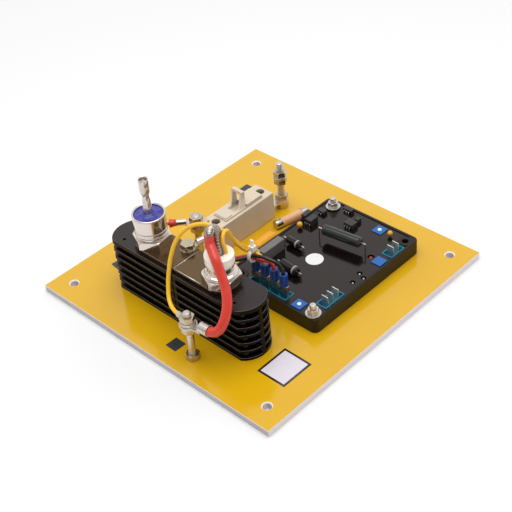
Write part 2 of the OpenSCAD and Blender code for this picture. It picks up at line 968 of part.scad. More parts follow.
// Hex bolt that holds a ring lug on the diode's bar
module bar_bolt() {
    shank_l = bar_bolt_l + washer_t;
    color("#a89a6a")
        translate([bar_bolt_x, sink_y + bar_bolt_y, seat_z - bar_bolt_l]) {
            cylinder(d = bar_bolt_d, h = shank_l + cut);
            translate([0, 0, shank_l])
                intersection() {
                    hexagon(bar_bolt_af, bar_bolt_head_h);
                    cylinder(
                        d1 = bar_bolt_af / cos(30) + 2 * bar_bolt_head_h - 1,
                        d2 = bar_bolt_af / cos(30) - 1,
                        h = bar_bolt_head_h
                    );
                }
        }
}

// Terminal studs with flush heads under the plate
module terminal_studs() {
    tip = 0.8;
    color("#c4bcb2")
        for (index = [front_stud : rear_stud]) {
            top = plate_t + stud_h - stud_cut[index];
            at_stud(index, 0)
                flush_screw(stud_d, top - tip, stud_head);
            at_stud(index, top - tip)
                cylinder(d1 = stud_d, d2 = stud_d - 2 * tip, h = tip);
        }
}

module terminal_nut() {
    corner_d = nut_af / cos(30);
    difference() {
        intersection() {
            hexagon(nut_af, nut_h);
            cylinder(d1 = corner_d + 2 * nut_h - 1, d2 = corner_d - 1, h = nut_h);
        }
        translate([0, 0, -cut])
            cylinder(d = stud_d + 2 * fit, h = nut_h + 2 * cut);
    }
}

module terminal_washer() {
    difference() {
        cylinder(d = washer_d, h = washer_t);
        translate([0, 0, -cut])
            cylinder(d = stud_d + 2 * screw_fit, h = washer_t + 2 * cut);
    }
}

// Nuts: at the plate, below and above each stack, and on the rear strap
module terminal_nuts() {
    levels = [plate_t, plate_t + stack_z, stack_ring_z + 3 * washer_t];
    rear_top_z = rear_stack_z + nut_h + rear_rings * washer_t;
    rear_levels = [plate_t, strap_z + 2 * washer_t, rear_stack_z, rear_top_z];
    color("#cbb98c") {
        for (index = [front_stud : middle_stud], level = levels)
            at_stud(index, level)
                terminal_nut();
        for (level = rear_levels)
            at_stud(rear_stud, level)
                terminal_nut();
    }
}

module terminal_washers() {
    color("#d0cac4") {
        for (index = [front_stud : middle_stud]) {
            at_stud(index, stack_ring_z - washer_t)
                terminal_washer();
            at_stud(index, stack_ring_z + 2 * washer_t)
                terminal_washer();
        }
        for (level = [0 : rear_rings - 1])
            at_stud(rear_stud, rear_stack_z + nut_h + level * washer_t)
                terminal_washer();
        at_stud(rear_stud, strap_z - washer_t)
            terminal_washer();
        at_stud(rear_stud, strap_z + washer_t)
            terminal_washer();
    }
}

// Crimped ring lugs of the yellow loop, the red wire and the black wire
module ring_lugs() {
    bore_d = stud_d + 2 * screw_fit;
    color("#d8d2cc") {
        at_stud(front_stud, stack_ring_z + washer_t)
            rotate([0, 0, loop_turn])
                ring_lug(lug_eye_d, bore_d, barrel_d, loop_barrel_l, loop_wire_d, loop_reach);
        at_stud(middle_stud, stack_ring_z + washer_t)
            rotate([0, 0, link_turn])
                ring_lug(lug_eye_d, bore_d, barrel_d, barrel_l, wire_d, lug_reach);
        translate([bar_bolt_x, sink_y + bar_bolt_y, seat_z])
            rotate([0, 0, bar_lug_turn])
                ring_lug(lug_eye_d, bar_bolt_d + 2 * screw_fit, barrel_d, barrel_l, wire_d, lug_reach);
    }
}

module heavy_lug() {
    color("#d8d2cc")
        at_stud(front_stud, stack_ring_z)
            rotate([0, 0, heavy_turn])
                ring_lug(
                    heavy_eye_d, stud_d + 2 * screw_fit, heavy_barrel_d, heavy_barrel_l,
                    heavy_lead_d, heavy_reach
                );
}

// Flat straps that join the fuse holder to the middle and the rear stud
module fuse_straps() {
    near_screw = [holder_x, holder_y - holder_screw_y];
    far_screw = [holder_x, holder_y + holder_screw_y];
    middle = stud_at[middle_stud];
    rear = stud_at[rear_stud];
    drop_y = holder_y - holder_l / 2 - 4;
    near_x = (middle.x + near_screw.x) / 2;
    reach = norm(rear - far_screw);
    swing = atan2(rear.y - far_screw.y, rear.x - far_screw.x);
    color("#cfc9c2") {
        difference() {
            union() {
                translate([middle.x, middle.y, stack_ring_z])
                    cylinder(d = lug_eye_d, h = washer_t);
                translate([near_x - strap_w / 2, middle.y, stack_ring_z])
                    cube([strap_w, drop_y - middle.y, washer_t]);
                translate([near_x - strap_w / 2, drop_y - washer_t, strap_z])
                    cube([strap_w, washer_t, stack_ring_z + washer_t - strap_z]);
                translate([near_x - strap_w / 2, drop_y - washer_t, strap_z])
                    cube([strap_w, near_screw.y - drop_y + washer_t, washer_t]);
                translate([near_screw.x, near_screw.y, strap_z])
                    cylinder(d = strap_eye_d, h = washer_t);
            }
            translate([middle.x, middle.y, stack_ring_z - cut])
                cylinder(d = stud_d + 2 * screw_fit, h = washer_t + 2 * cut);
            translate([near_screw.x, near_screw.y, strap_z - cut])
                cylinder(d = holder_screw_d + 2 * screw_fit, h = washer_t + 2 * cut);
        }
        difference() {
            union() {
                translate([far_screw.x, far_screw.y, strap_z])
                    cylinder(d = strap_eye_d, h = washer_t);
                translate([far_screw.x, far_screw.y, strap_z])
                    rotate([0, 0, swing])
                        translate([0, -strap_w / 2, 0])
                            cube([reach, strap_w, washer_t]);
                translate([rear.x, rear.y, strap_z])
                    cylinder(d = lug_eye_d, h = washer_t);
            }
            translate([far_screw.x, far_screw.y, strap_z - cut])
                cylinder(d = holder_screw_d + 2 * screw_fit, h = washer_t + 2 * cut);
            translate([rear.x, rear.y, strap_z - cut])
                cylinder(d = stud_d + 2 * screw_fit, h = washer_t + 2 * cut);
        }
    }
}

// Moulded base of the fuse holder: a well for the carrier and a screw well at each end
module fuse_base() {
    color("#cdbfa8")
        difference() {
            at_holder(plate_t)
                translate([-holder_w / 2, -holder_l / 2, 0])
                    cube([holder_w, holder_l, holder_h]);
            at_holder(well_floor)
                translate([-well_w / 2, -well_l / 2, 0])
                    cube([well_w, well_l, holder_h + cut]);
            for (side = [-1, 1]) {
                at_holder(strap_z)
                    translate([0, side * holder_screw_y, 0])
                        cylinder(d = screw_well_d, h = holder_h + cut);
                at_holder(plate_t - cut)
                    translate([0, side * holder_screw_y, 0])
                        cylinder(d = holder_screw_d + 2 * screw_fit, h = holder_h);
            }
            for (end = [0, 1])
                at_holder(strap_z)
                    mirror([0, end, 0])
                        translate([-strap_slot_w / 2, strap_slot_start, 0])
                            cube([strap_slot_w, holder_l / 2 - strap_slot_start + cut, washer_t + run_fit]);
        }
}

// Finger loop: upright at the back, sloping at the front
module finger_loop() {
    back = loop_t / 2;
    rotate([90, 0, 90])
        linear_extrude(loop_w, center = true)
            polygon([
                [-back - loop_flare, -cut],
                [back, -cut],
                [back, loop_h],
                [back - loop_top_t, loop_h]
            ]);
}

// Pull-out carrier: rim, plug, two hangers round the fuse, thumb step and finger loop
module fuse_carrier() {
    hanger_w = fuse_tube_d + 2 * hanger_wall;
    plug_z = holder_top - carrier_plug_h;
    color("#d6c9b2")
        difference() {
            union() {
                at_holder(holder_top)
                    translate([-carrier_w / 2 - carrier_lip, -carrier_l / 2 - carrier_lip, 0])
                        cube([carrier_w + 2 * carrier_lip, carrier_l + 2 * carrier_lip, carrier_rim_t]);
                at_holder(plug_z)
                    translate([-carrier_w / 2, -carrier_l / 2, 0])
                        cube([carrier_w, carrier_l, carrier_plug_h + carrier_rim_t]);
                for (side = [-1, 1])
                    at_holder(fuse_z)
                        translate([-hanger_w / 2, side * hanger_y - hanger_t / 2, 0])
                            cube([hanger_w, hanger_t, plug_z - fuse_z + cut]);
                at_holder(carrier_rim_top)
                    translate([-carrier_w / 2, -step_near, -cut])
                        cube([carrier_w, step_near - step_far, step_h + cut]);
                at_holder(carrier_rim_top)
                    finger_loop();
            }
            at_holder(carrier_rim_top)
                translate([-loop_gap / 2, -loop_t, 0])
                    cube([loop_gap, 2 * loop_t, loop_h - loop_wall]);
            at_holder(carrier_rim_top - scoop_h)
                translate([-loop_gap / 2, -scoop_y, 0])
                    cube([loop_gap, scoop_y + loop_t / 2, scoop_h + cut]);
            at_holder(fuse_z)
                translate([0, -well_l / 2, 0])
                    rotate([-90, 0, 0])
                        cylinder(d = fuse_tube_d + 2 * fit, h = well_l);
        }
}

// Cartridge fuse that the carrier holds
module fuse_link() {
    r = fuse_tube_d / 2;
    cap_r = fuse_cap_d / 2;
    color("#e6dfd2")
        at_holder(fuse_z)
            translate([0, -fuse_l / 2, 0])
                rotate([-90, 0, 0])
                    rotate_extrude()
                        polygon([
                            [0, 0],
                            [cap_r, 0],
                            [cap_r, fuse_cap_l],
                            [r, fuse_cap_l],
                            [r, fuse_l - fuse_cap_l],
                            [cap_r, fuse_l - fuse_cap_l],
                            [cap_r, fuse_l],
                            [0, fuse_l]
                        ]);
}

// Spring contacts in the well, open at the top, with a blade under the fuse
module fuse_contacts() {
    inner_w = fuse_cap_d + 2 * run_fit;
    color("#d2b15a")
        for (side = [-1, 1])
            at_holder(well_floor)
                translate([0, side * (fuse_l - contact_w) / 2, 0])
                    difference() {
                        translate([-inner_w / 2 - contact_t, -contact_w / 2, 0])
                            cube([inner_w + 2 * contact_t, contact_w, contact_h]);
                        translate([-inner_w / 2, -contact_w / 2 - cut, contact_t])
                            cube([inner_w, contact_w + 2 * cut, contact_h]);
                    }
}

// Terminal screws that clamp the straps and hold the fuse base down
module fuse_screws() {
    head_z = strap_z + washer_t;
    color("#bfb8b0")
        for (side = [-1, 1])
            at_holder(flush_recess)
                translate([0, side * holder_screw_y, 0])
                    difference() {
                        union() {
                            cylinder(d = holder_screw_d, h = head_z - flush_recess + cut);
                            translate([0, 0, head_z - flush_recess])
                                cylinder(d = holder_screw_head_d, h = holder_screw_head_h);
                        }
                        translate([-holder_screw_d, -0.5, head_z - flush_recess + holder_screw_head_h - 1])
                            cube([2 * holder_screw_d, 1, 1 + cut]);
                    }
}

// Spare cartridge fuse that lies on the plate
module at_spare_fuse() {
    translate([spare_at.x, spare_at.y, plate_t + spare_d / 2])
        rotate([0, 0, spare_turn])
            rotate([-90, 0, 0])
                children();
}

module spare_fuse_tube() {
    inset = 1;
    color("#dfa878")
        at_spare_fuse()
            translate([0, 0, inset - spare_l / 2])
                cylinder(d = spare_tube_d, h = spare_l - 2 * inset);
}

module spare_fuse_caps() {
    inset = 1;
    color("#c9c4ba")
        at_spare_fuse()
            for (end = [0, 180])
                rotate([end, 0, 0])
                    translate([0, 0, spare_l / 2 - spare_cap_l])
                        difference() {
                            cylinder(d = spare_d, h = spare_cap_l);
                            translate([0, 0, -cut])
                                cylinder(d = spare_tube_d + fit, h = spare_cap_l - inset + cut);
                        }
}

module film_capacitor() {
    color("#e09a1e")
        translate([film_at.x, film_at.y, plate_t + film_h / 2])
            rounded_box([film_w, film_l, film_h], film_round);
}

// Bosses round the module's holes, each filled out to its corner of the tray
module corner_bosses(level, height, grow) {
    for (x = [0, 1], y = [0, 1])
        at_module([x == 0 ? hole_left : hole_right, y == 0 ? hole_near : hole_far], level) {
            cylinder(d = boss_d + 2 * grow, h = height);
            translate([x == 0 ? -boss_d : 0, y == 0 ? -boss_d : 0, 0])
                cube([boss_d, boss_d, height]);
        }
}

// Black tray of the module, with a boss round each corner hole
module module_tray() {
    color("#242022")
        difference() {
            at_module([0, 0], plate_t)
                round_slab([module_w, module_l, module_h], tray_round);
            difference() {
                at_module([0, 0], plate_t + tray_floor)
                    translate([tray_wall - module_w / 2, tray_wall - module_l / 2, 0])
                        cube([module_w - 2 * tray_wall, module_l - 2 * tray_wall, module_h]);
                corner_bosses(plate_t, module_h, 0);
            }
            for (x = [hole_left, hole_right], y = [hole_near, hole_far])
                at_module([x, y], plate_t - cut)
                    cylinder(d = module_bolt_d + 2 * screw_fit, h = module_h + 2 * cut);
        }
}

// Space inside the tray between two levels, clear of the bosses
module tray_fill(low, high) {
    difference() {
        at_module([0, 0], low)
            translate([tray_wall + fit - module_w / 2, tray_wall + fit - module_l / 2, 0])
                cube([module_w - 2 * (tray_wall + fit), module_l - 2 * (tray_wall + fit), high - low]);
        corner_bosses(low - cut, high - low + 2 * cut, fit);
    }
}

module circuit_board() {
    color("#1f6f6a")
        tray_fill(plate_t + tray_floor, board_top);
}

// Window in the resin round a row of blades
module window(place, size, level, height) {
    at_module(place, level)
        translate([-size.x / 2, -size.y / 2, 0])
            cube([size.x, size.y, height]);
}

// Black resin over the board, with windows, trimmer pockets and small pits
module potting_resin() {
    pocket = trimmer_w + 2 * fit;
    color("#3a3536")
        difference() {
            tray_fill(board_top, resin_top);
            for (opening = windows)
                window(opening[0], opening[1], board_top - cut, module_h);
            for (place = [near_trimmer, far_trimmer, plain_block])
                window(place, [pocket, pocket], board_top - cut, module_h);
            at_module(lamp_at, board_top - cut)
                cylinder(d = lamp_d + 2 * run_fit, h = module_h);
            for (place = post_at)
                at_module(place, board_top - cut)
                    cylinder(d = pit_d, h = module_h);
        }
}

// Thin frames that keep the resin away from the blades
module window_dams() {
    height = resin_top + dam_rise - board_top;
    outer = [2 * fit, 2 * fit];
    inner = [2 * (fit + dam_t), 2 * (fit + dam_t)];
    color("#1f7f86")
        difference() {
            for (opening = windows)
                window(opening[0], opening[1] - outer, board_top, height);
            for (opening = windows)
                window(opening[0], opening[1] - inner, board_top - cut, module_h);
        }
}

// Bolts, nuts and broad washers at two opposite corners of the module
module module_bolts() {
    rise = module_washer_t + module_nut_h + module_bolt_rise;
    color("#cfcac4")
        for (place = module_bolt_at)
            at_module(place, 0)
                flush_screw(module_bolt_d, tray_top + rise, module_bolt_head);
}

module module_nuts() {
    corner_d = module_nut_af / cos(30);
    color("#cfcac4")
        for (place = module_bolt_at)
            at_module(place, tray_top + module_washer_t)
                difference() {
                    intersection() {
                        hexagon(module_nut_af, module_nut_h);
                        cylinder(d1 = corner_d + 2 * module_nut_h - 1, d2 = corner_d - 1, h = module_nut_h);
                    }
                    translate([0, 0, -cut])
                        cylinder(d = module_bolt_d + 2 * fit, h = module_nut_h + 2 * cut);
                }
}

module module_washers() {
    color("#dcd8d4")
        for (place = module_bolt_at)
            at_module(place, tray_top)
                difference() {
                    cylinder(d = module_washer_d, h = module_washer_t);
                    translate([0, 0, -cut])
                        cylinder(d = module_bolt_d + 2 * screw_fit, h = module_washer_t + 2 * cut);
                }
}

// Axial part: a body with rounded shoulders along X, centred on the origin
module axial_body(d, length) {
    shoulder = d / 6;
    r = d / 2;
    rotate([0, 90, 0])
        translate([0, 0, -length / 2])
            rotate_extrude()
                polygon([
                    [0, 0],
                    [r - shoulder, 0],
                    [r, shoulder],
                    [r, length - shoulder],
                    [r - shoulder, length],
                    [0, length]
                ]);
}

// Two bent leads of an axial part, from the body's ends down to the resin
module axial_leads(length, overhang, rise) {
    for (end = [0, 180])
        rotate([0, 0, end]) {
            translate([length / 2, 0, 0])
                rotate([0, 90, 0])
                    cylinder(d = lead_d, h = overhang);
            translate([length / 2 + overhang, 0, 0])
                sphere(d = lead_d);
            translate([length / 2 + overhang, 0, -rise])
                cylinder(d = lead_d, h = rise);
        }
}

module power_resistor() {
    color("#2f3532")
        at_module(resistor_at, resin_top + resistor_rise)
            rotate([0, 0, resistor_turn])
                axial_body(resistor_d, resistor_l);
}

module resistor_leads() {
    color("#8d8780")
        at_module(resistor_at, resin_top + resistor_rise)
            rotate([0, 0, resistor_turn])
                axial_leads(resistor_l, resistor_overhang, resistor_rise);
}

module rectifier_diodes() {
    color("#1d1b1c")
        for (i = [0 : len(rectifier_at) - 1])
            at_module(rectifier_at[i], resin_top + rectifier_rise)
                rotate([0, 0, rectifier_turn[i]])
                    axial_body(rectifier_d[i], rectifier_l[i]);
}

module rectifier_leads() {
    color("#b8b2aa")
        for (i = [0 : len(rectifier_at) - 1])
            at_module(rectifier_at[i], resin_top + rectifier_rise)
                rotate([0, 0, rectifier_turn[i]])
                    axial_leads(rectifier_l[i], rectifier_overhang, rectifier_rise);
}

module box_capacitor() {
    color("#77727a")
        at_module(box_cap_at, resin_top)
            translate([-box_cap_w / 2, -box_cap_l / 2, 0])
                cube([box_cap_w, box_cap_l, box_cap_h]);
}

// Moulded parts that stand out of the resin
module potted_blocks() {
    color("#262426")
        for (i = [0 : len(block_at) - 1])
            at_module(block_at[i], resin_top)
                translate([-block_size[i].x / 2, -block_size[i].y / 2, 0])
                    cube(block_size[i]);
}

// Dipped beads on short legs
module bead_capacitors() {
    color("#dd8a1c")
        for (i = [0 : len(bead_at) - 1])
            at_module(bead_at[i], resin_top) {
                translate([0, 0, bead_rise])
                    sphere(d = bead_d[i]);
                cylinder(d = lead_d, h = bead_rise);
            }
}

module indicator_lamp() {
    r = lamp_d / 2;
    color("#8a2a26")
        at_module(lamp_at, board_top) {
            cylinder(r = r, h = lamp_h - r);
            translate([0, 0, lamp_h - r])
                sphere(r = r);
        }
}

module test_posts() {
    color("#807a7c")
        for (place = post_at)
            at_module(place, board_top)
                cylinder(d = post_d, h = post_h);
}

// Blades stand on the board; those of the row carry the push-on connectors
module blade(along_x, along_y) {
    translate([-along_x / 2, -along_y / 2, 0])
        cube([along_x, along_y, blade_h]);
}

module blade_terminals() {
    near_mid = (near_blade_count - 1) / 2;
    right_mid = (right_blade_count - 1) / 2;
    color("#c8c2b8") {
        for (i = [0 : blade_count - 1])
            at_module([blade_row.x + i * blade_pitch, blade_row.y], board_top)
                blade(blade_w, blade_t);
        for (i = [0 : near_blade_count - 1])
            at_module([near_blades.x, near_blades.y + (i - near_mid) * near_blade_pitch], board_top)
                blade(blade_w, blade_t);
        for (i = [0 : right_blade_count - 1])
            at_module([right_blades.x, right_blades.y + (i - right_mid) * right_blade_pitch], board_top)
                blade(blade_w, blade_t);
    }
}

// Tinned receptacles pushed onto the row of blades
module push_receptacles() {
    color("#cbc6be")
        for (i = [0 : blade_count - 1])
            at_module([blade_row.x + i * blade_pitch, blade_row.y], board_top + receptacle_gap)
                difference() {
                    translate([-receptacle_w / 2, -receptacle_t / 2, 0])
                        cube([receptacle_w, receptacle_t, blade_h - receptacle_gap + receptacle_rise]);
                    translate([-blade_w / 2 - fit, -blade_t / 2 - fit, -cut])
                        cube([blade_w + 2 * fit, blade_t + 2 * fit, blade_h - receptacle_gap + cut + fit]);
                }
}

// Blue sleeves over the crimped end of each connector
module connector_sleeves() {
    wire_depth = 6;
    color("#1f4fa8")
        for (i = [0 : blade_count - 1])
            at_module([blade_row.x + i * blade_pitch, blade_row.y], board_top + blade_h + receptacle_rise)
                difference() {
                    cylinder(d = sleeve_d, h = sleeve_l);
                    translate([0, 0, sleeve_l - wire_depth])
                        cylinder(d = wire_d + 2 * screw_fit, h = wire_depth + cut);
                }
}

// Blue bodies: two trimmers with a rotor seat, and one plain block
module trimmer_bodies() {
    h = resin_top + trimmer_rise - board_top;
    color("#2a63b4")
        difference() {
            for (place = [near_trimmer, far_trimmer, plain_block])
                at_module(place, board_top)
                    translate([-trimmer_w / 2, -trimmer_w / 2, 0])
                        cube([trimmer_w, trimmer_w, h]);
            for (place = [near_trimmer, far_trimmer])
                at_module(place, resin_top + trimmer_rise - rotor_recess)
                    cylinder(d = rotor_d + 2 * run_fit, h = rotor_recess + cut);
        }
}

module trimmer_rotor(place) {
    color("#e8e4e0")
        at_module(place, resin_top + trimmer_rise - rotor_recess + fit)
            difference() {
                cylinder(d = rotor_d, h = rotor_h);
                translate([-rotor_d, -rotor_slot / 2, rotor_h / 2])
                    cube([2 * rotor_d, rotor_slot, rotor_h]);
            }
}

module trimmer_rotor_near() {
    trimmer_rotor(near_trimmer);
}

module trimmer_rotor_far() {
    trimmer_rotor(far_trimmer);
}

// Cable tie round three of the thin wires, with its head and tail above
module cable_tie() {
    r = tie_d / 2;
    color("#efece4")
        translate(tie_at)
            difference() {
                union() {
                    rotate([0, 90, 0])
                        translate([0, 0, -tie_w / 2])
                            cylinder(r = r + tie_t, h = tie_w);
                    translate([-tie_head / 2, -tie_head / 2, r])
                        cube([tie_head, tie_head, tie_head]);
                    translate([-tie_w / 2, -tie_t / 2, r])
                        cube([tie_w, tie_t, tie_tail_l]);
                }
                rotate([0, 90, 0])
                    translate([0, 0, -tie_head])
                        cylinder(r = r, h = 2 * tie_head);
            }
}

// Wires
module red_lead() {
    color("#c8382e")
        cord(red_lead_route, heavy_lead_d);
}

module yellow_loop() {
    color("#e8b820")
        cord(yellow_loop_route, loop_wire_d);
}

module gate_wire() {
    color("#e8b820")
        cord(gate_wire_route, wire_d);
}

module sense_wire() {
    color("#e8b820")
        cord(sense_wire_route, wire_d);
}

module red_wire() {
    color("#c8382e")
        cord(red_wire_route, wire_d);
}

module black_wire() {
    color("#1a1a1a")
        cord(black_wire_route, wire_d);
}

base_plate();
heatsink_diode();
heatsink_thyristor();
heatsink_screws();
diode_bar();
thyristor_bar();
diode_base();
diode_can();
diode_seal();
diode_stem();
thyristor_base();
thyristor_can();
thyristor_ceramic();
thyristor_braid();
bar_bolt();
terminal_studs();
terminal_nuts();
terminal_washers();
ring_lugs();
heavy_lug();
fuse_straps();
fuse_base();
fuse_carrier();
fuse_link();
fuse_contacts();
fuse_screws();
spare_fuse_tube();
spare_fuse_caps();
film_capacitor();
module_tray();
circuit_board();
potting_resin();
window_dams();
module_bolts();
module_nuts();
module_washers();
power_resistor();
resistor_leads();
rectifier_diodes();
rectifier_leads();
box_capacitor();
potted_blocks();
bead_capacitors();
indicator_lamp();
test_posts();
blade_terminals();
push_receptacles();
connector_sleeves();
trimmer_bodies();
trimmer_rotor_near();
trimmer_rotor_far();
cable_tie();
red_lead();
yellow_loop();
gate_wire();
sense_wire();
red_wire();
black_wire();
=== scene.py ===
import math
import bmesh
import bpy
from mathutils import Matrix, Vector, noise


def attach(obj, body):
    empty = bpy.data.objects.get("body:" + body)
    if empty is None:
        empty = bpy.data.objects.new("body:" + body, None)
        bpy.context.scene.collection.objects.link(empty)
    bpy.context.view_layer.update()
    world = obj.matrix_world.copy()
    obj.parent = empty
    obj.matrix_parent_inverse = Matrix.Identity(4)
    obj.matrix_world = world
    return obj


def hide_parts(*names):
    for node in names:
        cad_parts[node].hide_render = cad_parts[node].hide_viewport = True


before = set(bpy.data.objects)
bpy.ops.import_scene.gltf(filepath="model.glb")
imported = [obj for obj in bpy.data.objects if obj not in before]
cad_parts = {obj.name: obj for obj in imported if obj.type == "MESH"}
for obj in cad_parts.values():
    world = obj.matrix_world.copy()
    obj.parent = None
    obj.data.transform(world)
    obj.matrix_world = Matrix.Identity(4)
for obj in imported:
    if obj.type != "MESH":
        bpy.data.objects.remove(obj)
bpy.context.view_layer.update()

# Studio: a white paper sweep under a broad soft box, with a bright wall behind the regulator
# and a dim room on the camera's side, as catalogue goods are photographed. The camera looks
# down over one corner of the plate, a little rolled.
MM = 0.001


def linear(code):
    """An sRGB hex colour as linear red, green, blue and alpha."""
    parts = [int(code[i : i + 2], 16) / 255 for i in (0, 2, 4)]
    return [p / 12.92 if p <= 0.04045 else ((p + 0.055) / 1.055) ** 2.4 for p in parts] + [1.0]


def surface(name, sockets):
    """A new material with values on its shader's own sockets."""
    material = bpy.data.materials.new(name)
    material.use_nodes = True
    shader = material.node_tree.nodes["Principled BSDF"]
    for socket, value in sockets.items():
        shader.inputs[socket].default_value = value
    return material


def add(owner, kind, inputs=None, to=None, **settings):
    """Adds a node with its settings and links to a material or world. An input is a value or
    another node's output, and to gives the final node's sockets that the new outputs reach."""
    tree = owner.node_tree
    node = tree.nodes.new(kind)
    for name, value in settings.items():
        setattr(node, name, value)
    for socket, value in (inputs or {}).items():
        if isinstance(value, bpy.types.NodeSocket):
            tree.links.new(value, node.inputs[socket])
        else:
            node.inputs[socket].default_value = value
    final = tree.nodes.get("Principled BSDF") or tree.nodes.get("Background")
    for socket, output in (to or {}).items():
        tree.links.new(node.outputs[output], final.inputs[socket])
    return node


def shown(name, data, materials=()):
    """A new object at the origin in the scene."""
    for material in materials:
        data.materials.append(material)
    made = bpy.data.objects.new(name, data)
    bpy.context.scene.collection.objects.link(made)
    return made


# Sweep paper: matt white with a faint tooth
paper = surface("matt white paper", {"Base Color": linear("E8E8E8"), "Roughness": 0.9})
paper_place = add(paper, "ShaderNodeTexCoord")
tooth = add(
    paper,
    "ShaderNodeTexNoise",
    {"Vector": paper_place.outputs["Object"], "Scale": 1 / (4 * MM)},
)
add(paper, "ShaderNodeBump", {"Height": tooth.outputs["Fac"], "Strength": 0.02}, to={"Normal": 0})

sweep_mesh = bmesh.new()
bmesh.ops.create_grid(sweep_mesh, x_segments=8, y_segments=8, size=4)
sweep_data = bpy.data.meshes.new("sweep")
sweep_mesh.to_mesh(sweep_data)
sweep_mesh.free()
sweep = shown("sweep", sweep_data, [paper])

# Surround: a white wall up to about forty degrees behind the plate, dimmer above and in front
TOWARDS_WALL = (-0.586, 0.544, 0.6)
surround = bpy.data.worlds.new("studio surround")
surround.use_nodes = True
surround.node_tree.nodes["Background"].inputs["Color"].default_value = linear("FFFFFF")
looking = add(surround, "ShaderNodeTexCoord")
facing_wall = add(
    surround,
    "ShaderNodeVectorMath",
    {0: looking.outputs["Generated"], 1: TOWARDS_WALL},
    operation="DOT_PRODUCT",
)
wall_glow = add(
    surround,
    "ShaderNodeMapRange",
    {
        "Value": facing_wall.outputs["Value"],
        "From Min": -0.3,
        "From Max": 0.55,
        "To Min": 0.32,
        "To Max": 1.0,
    },
    interpolation_type="SMOOTHSTEP",
)
height = add(surround, "ShaderNodeSeparateXYZ", {0: looking.outputs["Generated"]})
ceiling = add(
    surround,
    "ShaderNodeMapRange",
    {"Value": height.outputs["Z"], "From Min": 0.64, "From Max": 0.86, "To Min": 1.0, "To Max": 0.6},
    interpolation_type="SMOOTHSTEP",
)
add(
    surround,
    "ShaderNodeMath",
    {0: wall_glow.outputs["Result"], 1: ceiling.outputs["Result"]},
    to={"Strength": 0},
    operation="MULTIPLY",
)
bpy.context.scene.world = surround
bpy.context.scene.view_settings.view_transform = "Standard"

soft_box = bpy.data.lights.new("soft box", "AREA")
soft_box.energy = 23
soft_box.size = 1.6
lamp = shown("soft box", soft_box)
lamp.location = (0.12, -0.08, 1.65)
lamp.rotation_euler = Vector(lamp.location).to_track_quat("Z", "Y").to_euler()

camera_place = Vector((0.5196, -0.4863, 0.5892))
azimuth, elevation, roll = (math.radians(angle) for angle in (47.143, 38.66, -5.665))
back = Vector((
    math.sin(azimuth) * math.cos(elevation),
    -math.cos(azimuth) * math.cos(elevation),
    math.sin(elevation),
))
right = Vector((0, 0, 1)).cross(back).normalized()
up = back.cross(right)
rolled = (
    math.cos(roll) * right + math.sin(roll) * up,
    math.cos(roll) * up - math.sin(roll) * right,
    back,
)
camera_data = bpy.data.cameras.new("camera")
camera_data.lens = 79.74
camera_data.sensor_width = 36
camera = shown("camera", camera_data)
camera.matrix_world = Matrix.Translation(camera_place) @ Matrix(rolled).transposed().to_4x4()
bpy.context.scene.camera = camera

# Base plate: a sawn square of yellow polyester glass laminate, pressed glossy on both faces,
# with four bevelled holes. Its cut edges and bevels show the bare plies.
# How near in metres corners merge, and the angles up to which faces are flat and past which
# edges are sharp
MERGE = 1e-6
FLAT = math.radians(0.4)
SHARP = math.radians(32)


def piece(name, mesh, materials, body="regulator"):
    """Makes a piece of a bmesh, which rides on a body and takes the given materials."""
    data = bpy.data.meshes.new(name)
    mesh.to_mesh(data)
    mesh.free()
    data.shade_smooth()
    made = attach(shown(name, data, materials), body)
    return made


def rounded(made, edge, clamped=True):
    """Rounds a piece's sharp outer edges by a width in mm, with flat faces kept flat. Clamped
    edges get less where they lie close together."""
    shape = bmesh.new()
    shape.from_mesh(made.data)
    weight = shape.edges.layers.float.new("bevel_weight_edge")
    for line in shape.edges:
        outer = line.is_manifold and line.is_convex
        line[weight] = float(outer and line.calc_face_angle() > SHARP)
    shape.to_mesh(made.data)
    shape.free()
    rounding = made.modifiers.new("rounded edges", "BEVEL")
    rounding.width = edge * MM
    rounding.segments = 2
    rounding.limit_method = "WEIGHT"
    rounding.use_clamp_overlap = clamped
    made.modifiers.new("flat faces", "WEIGHTED_NORMAL")


def edged(node, material, edge, body="regulator", clamped=True):
    """A merged copy of a CAD node with its edges rounded, which stands for the node."""
    mesh = bmesh.new()
    mesh.from_mesh(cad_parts[node].data)
    bmesh.ops.remove_doubles(mesh, verts=mesh.verts, dist=MERGE)
    bmesh.ops.dissolve_limit(mesh, angle_limit=FLAT, verts=mesh.verts, edges=mesh.edges)
    made = piece(node + "_finished", mesh, [material], body)
    rounded(made, edge, clamped)
    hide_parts(node)


# A Mix node's sockets for colours: the two that go in and the one that comes out
COLOUR_A, COLOUR_B, MIXED = 6, 7, 2
# Polyester glass laminate: deep yellow under a glossy pressed skin, cloudy from the glass mat
laminate = surface("polyester glass laminate", {"Roughness": 0.14, "IOR": 1.58})
laminate_place = add(laminate, "ShaderNodeTexCoord")
mat_cloud = add(
    laminate,
    "ShaderNodeTexNoise",
    {"Vector": laminate_place.outputs["Object"], "Scale": 1 / (38 * MM), "Detail": 5.0},
)
face_tone = add(
    laminate,
    "ShaderNodeMix",
    {0: mat_cloud.outputs["Fac"], COLOUR_A: linear("D2A10C"), COLOUR_B: linear("DAAB14")},
    data_type="RGBA",
)
face_way = add(laminate, "ShaderNodeSeparateXYZ", {0: laminate_place.outputs["Normal"]})
face_up = add(laminate, "ShaderNodeMath", {0: face_way.outputs["Z"]}, operation="ABSOLUTE")
sawn = add(
    laminate,
    "ShaderNodeMapRange",
    {"Value": face_up.outputs[0], "From Min": 0.78, "From Max": 0.96, "To Min": 1.0, "To Max": 0.0},
)
ply_stretch = add(
    laminate,
    "ShaderNodeMapping",
    {
        "Vector": laminate_place.outputs["Object"],
        "Scale": [1 / (size * MM) for size in (16.7, 16.7, 1.1)],
    },
)
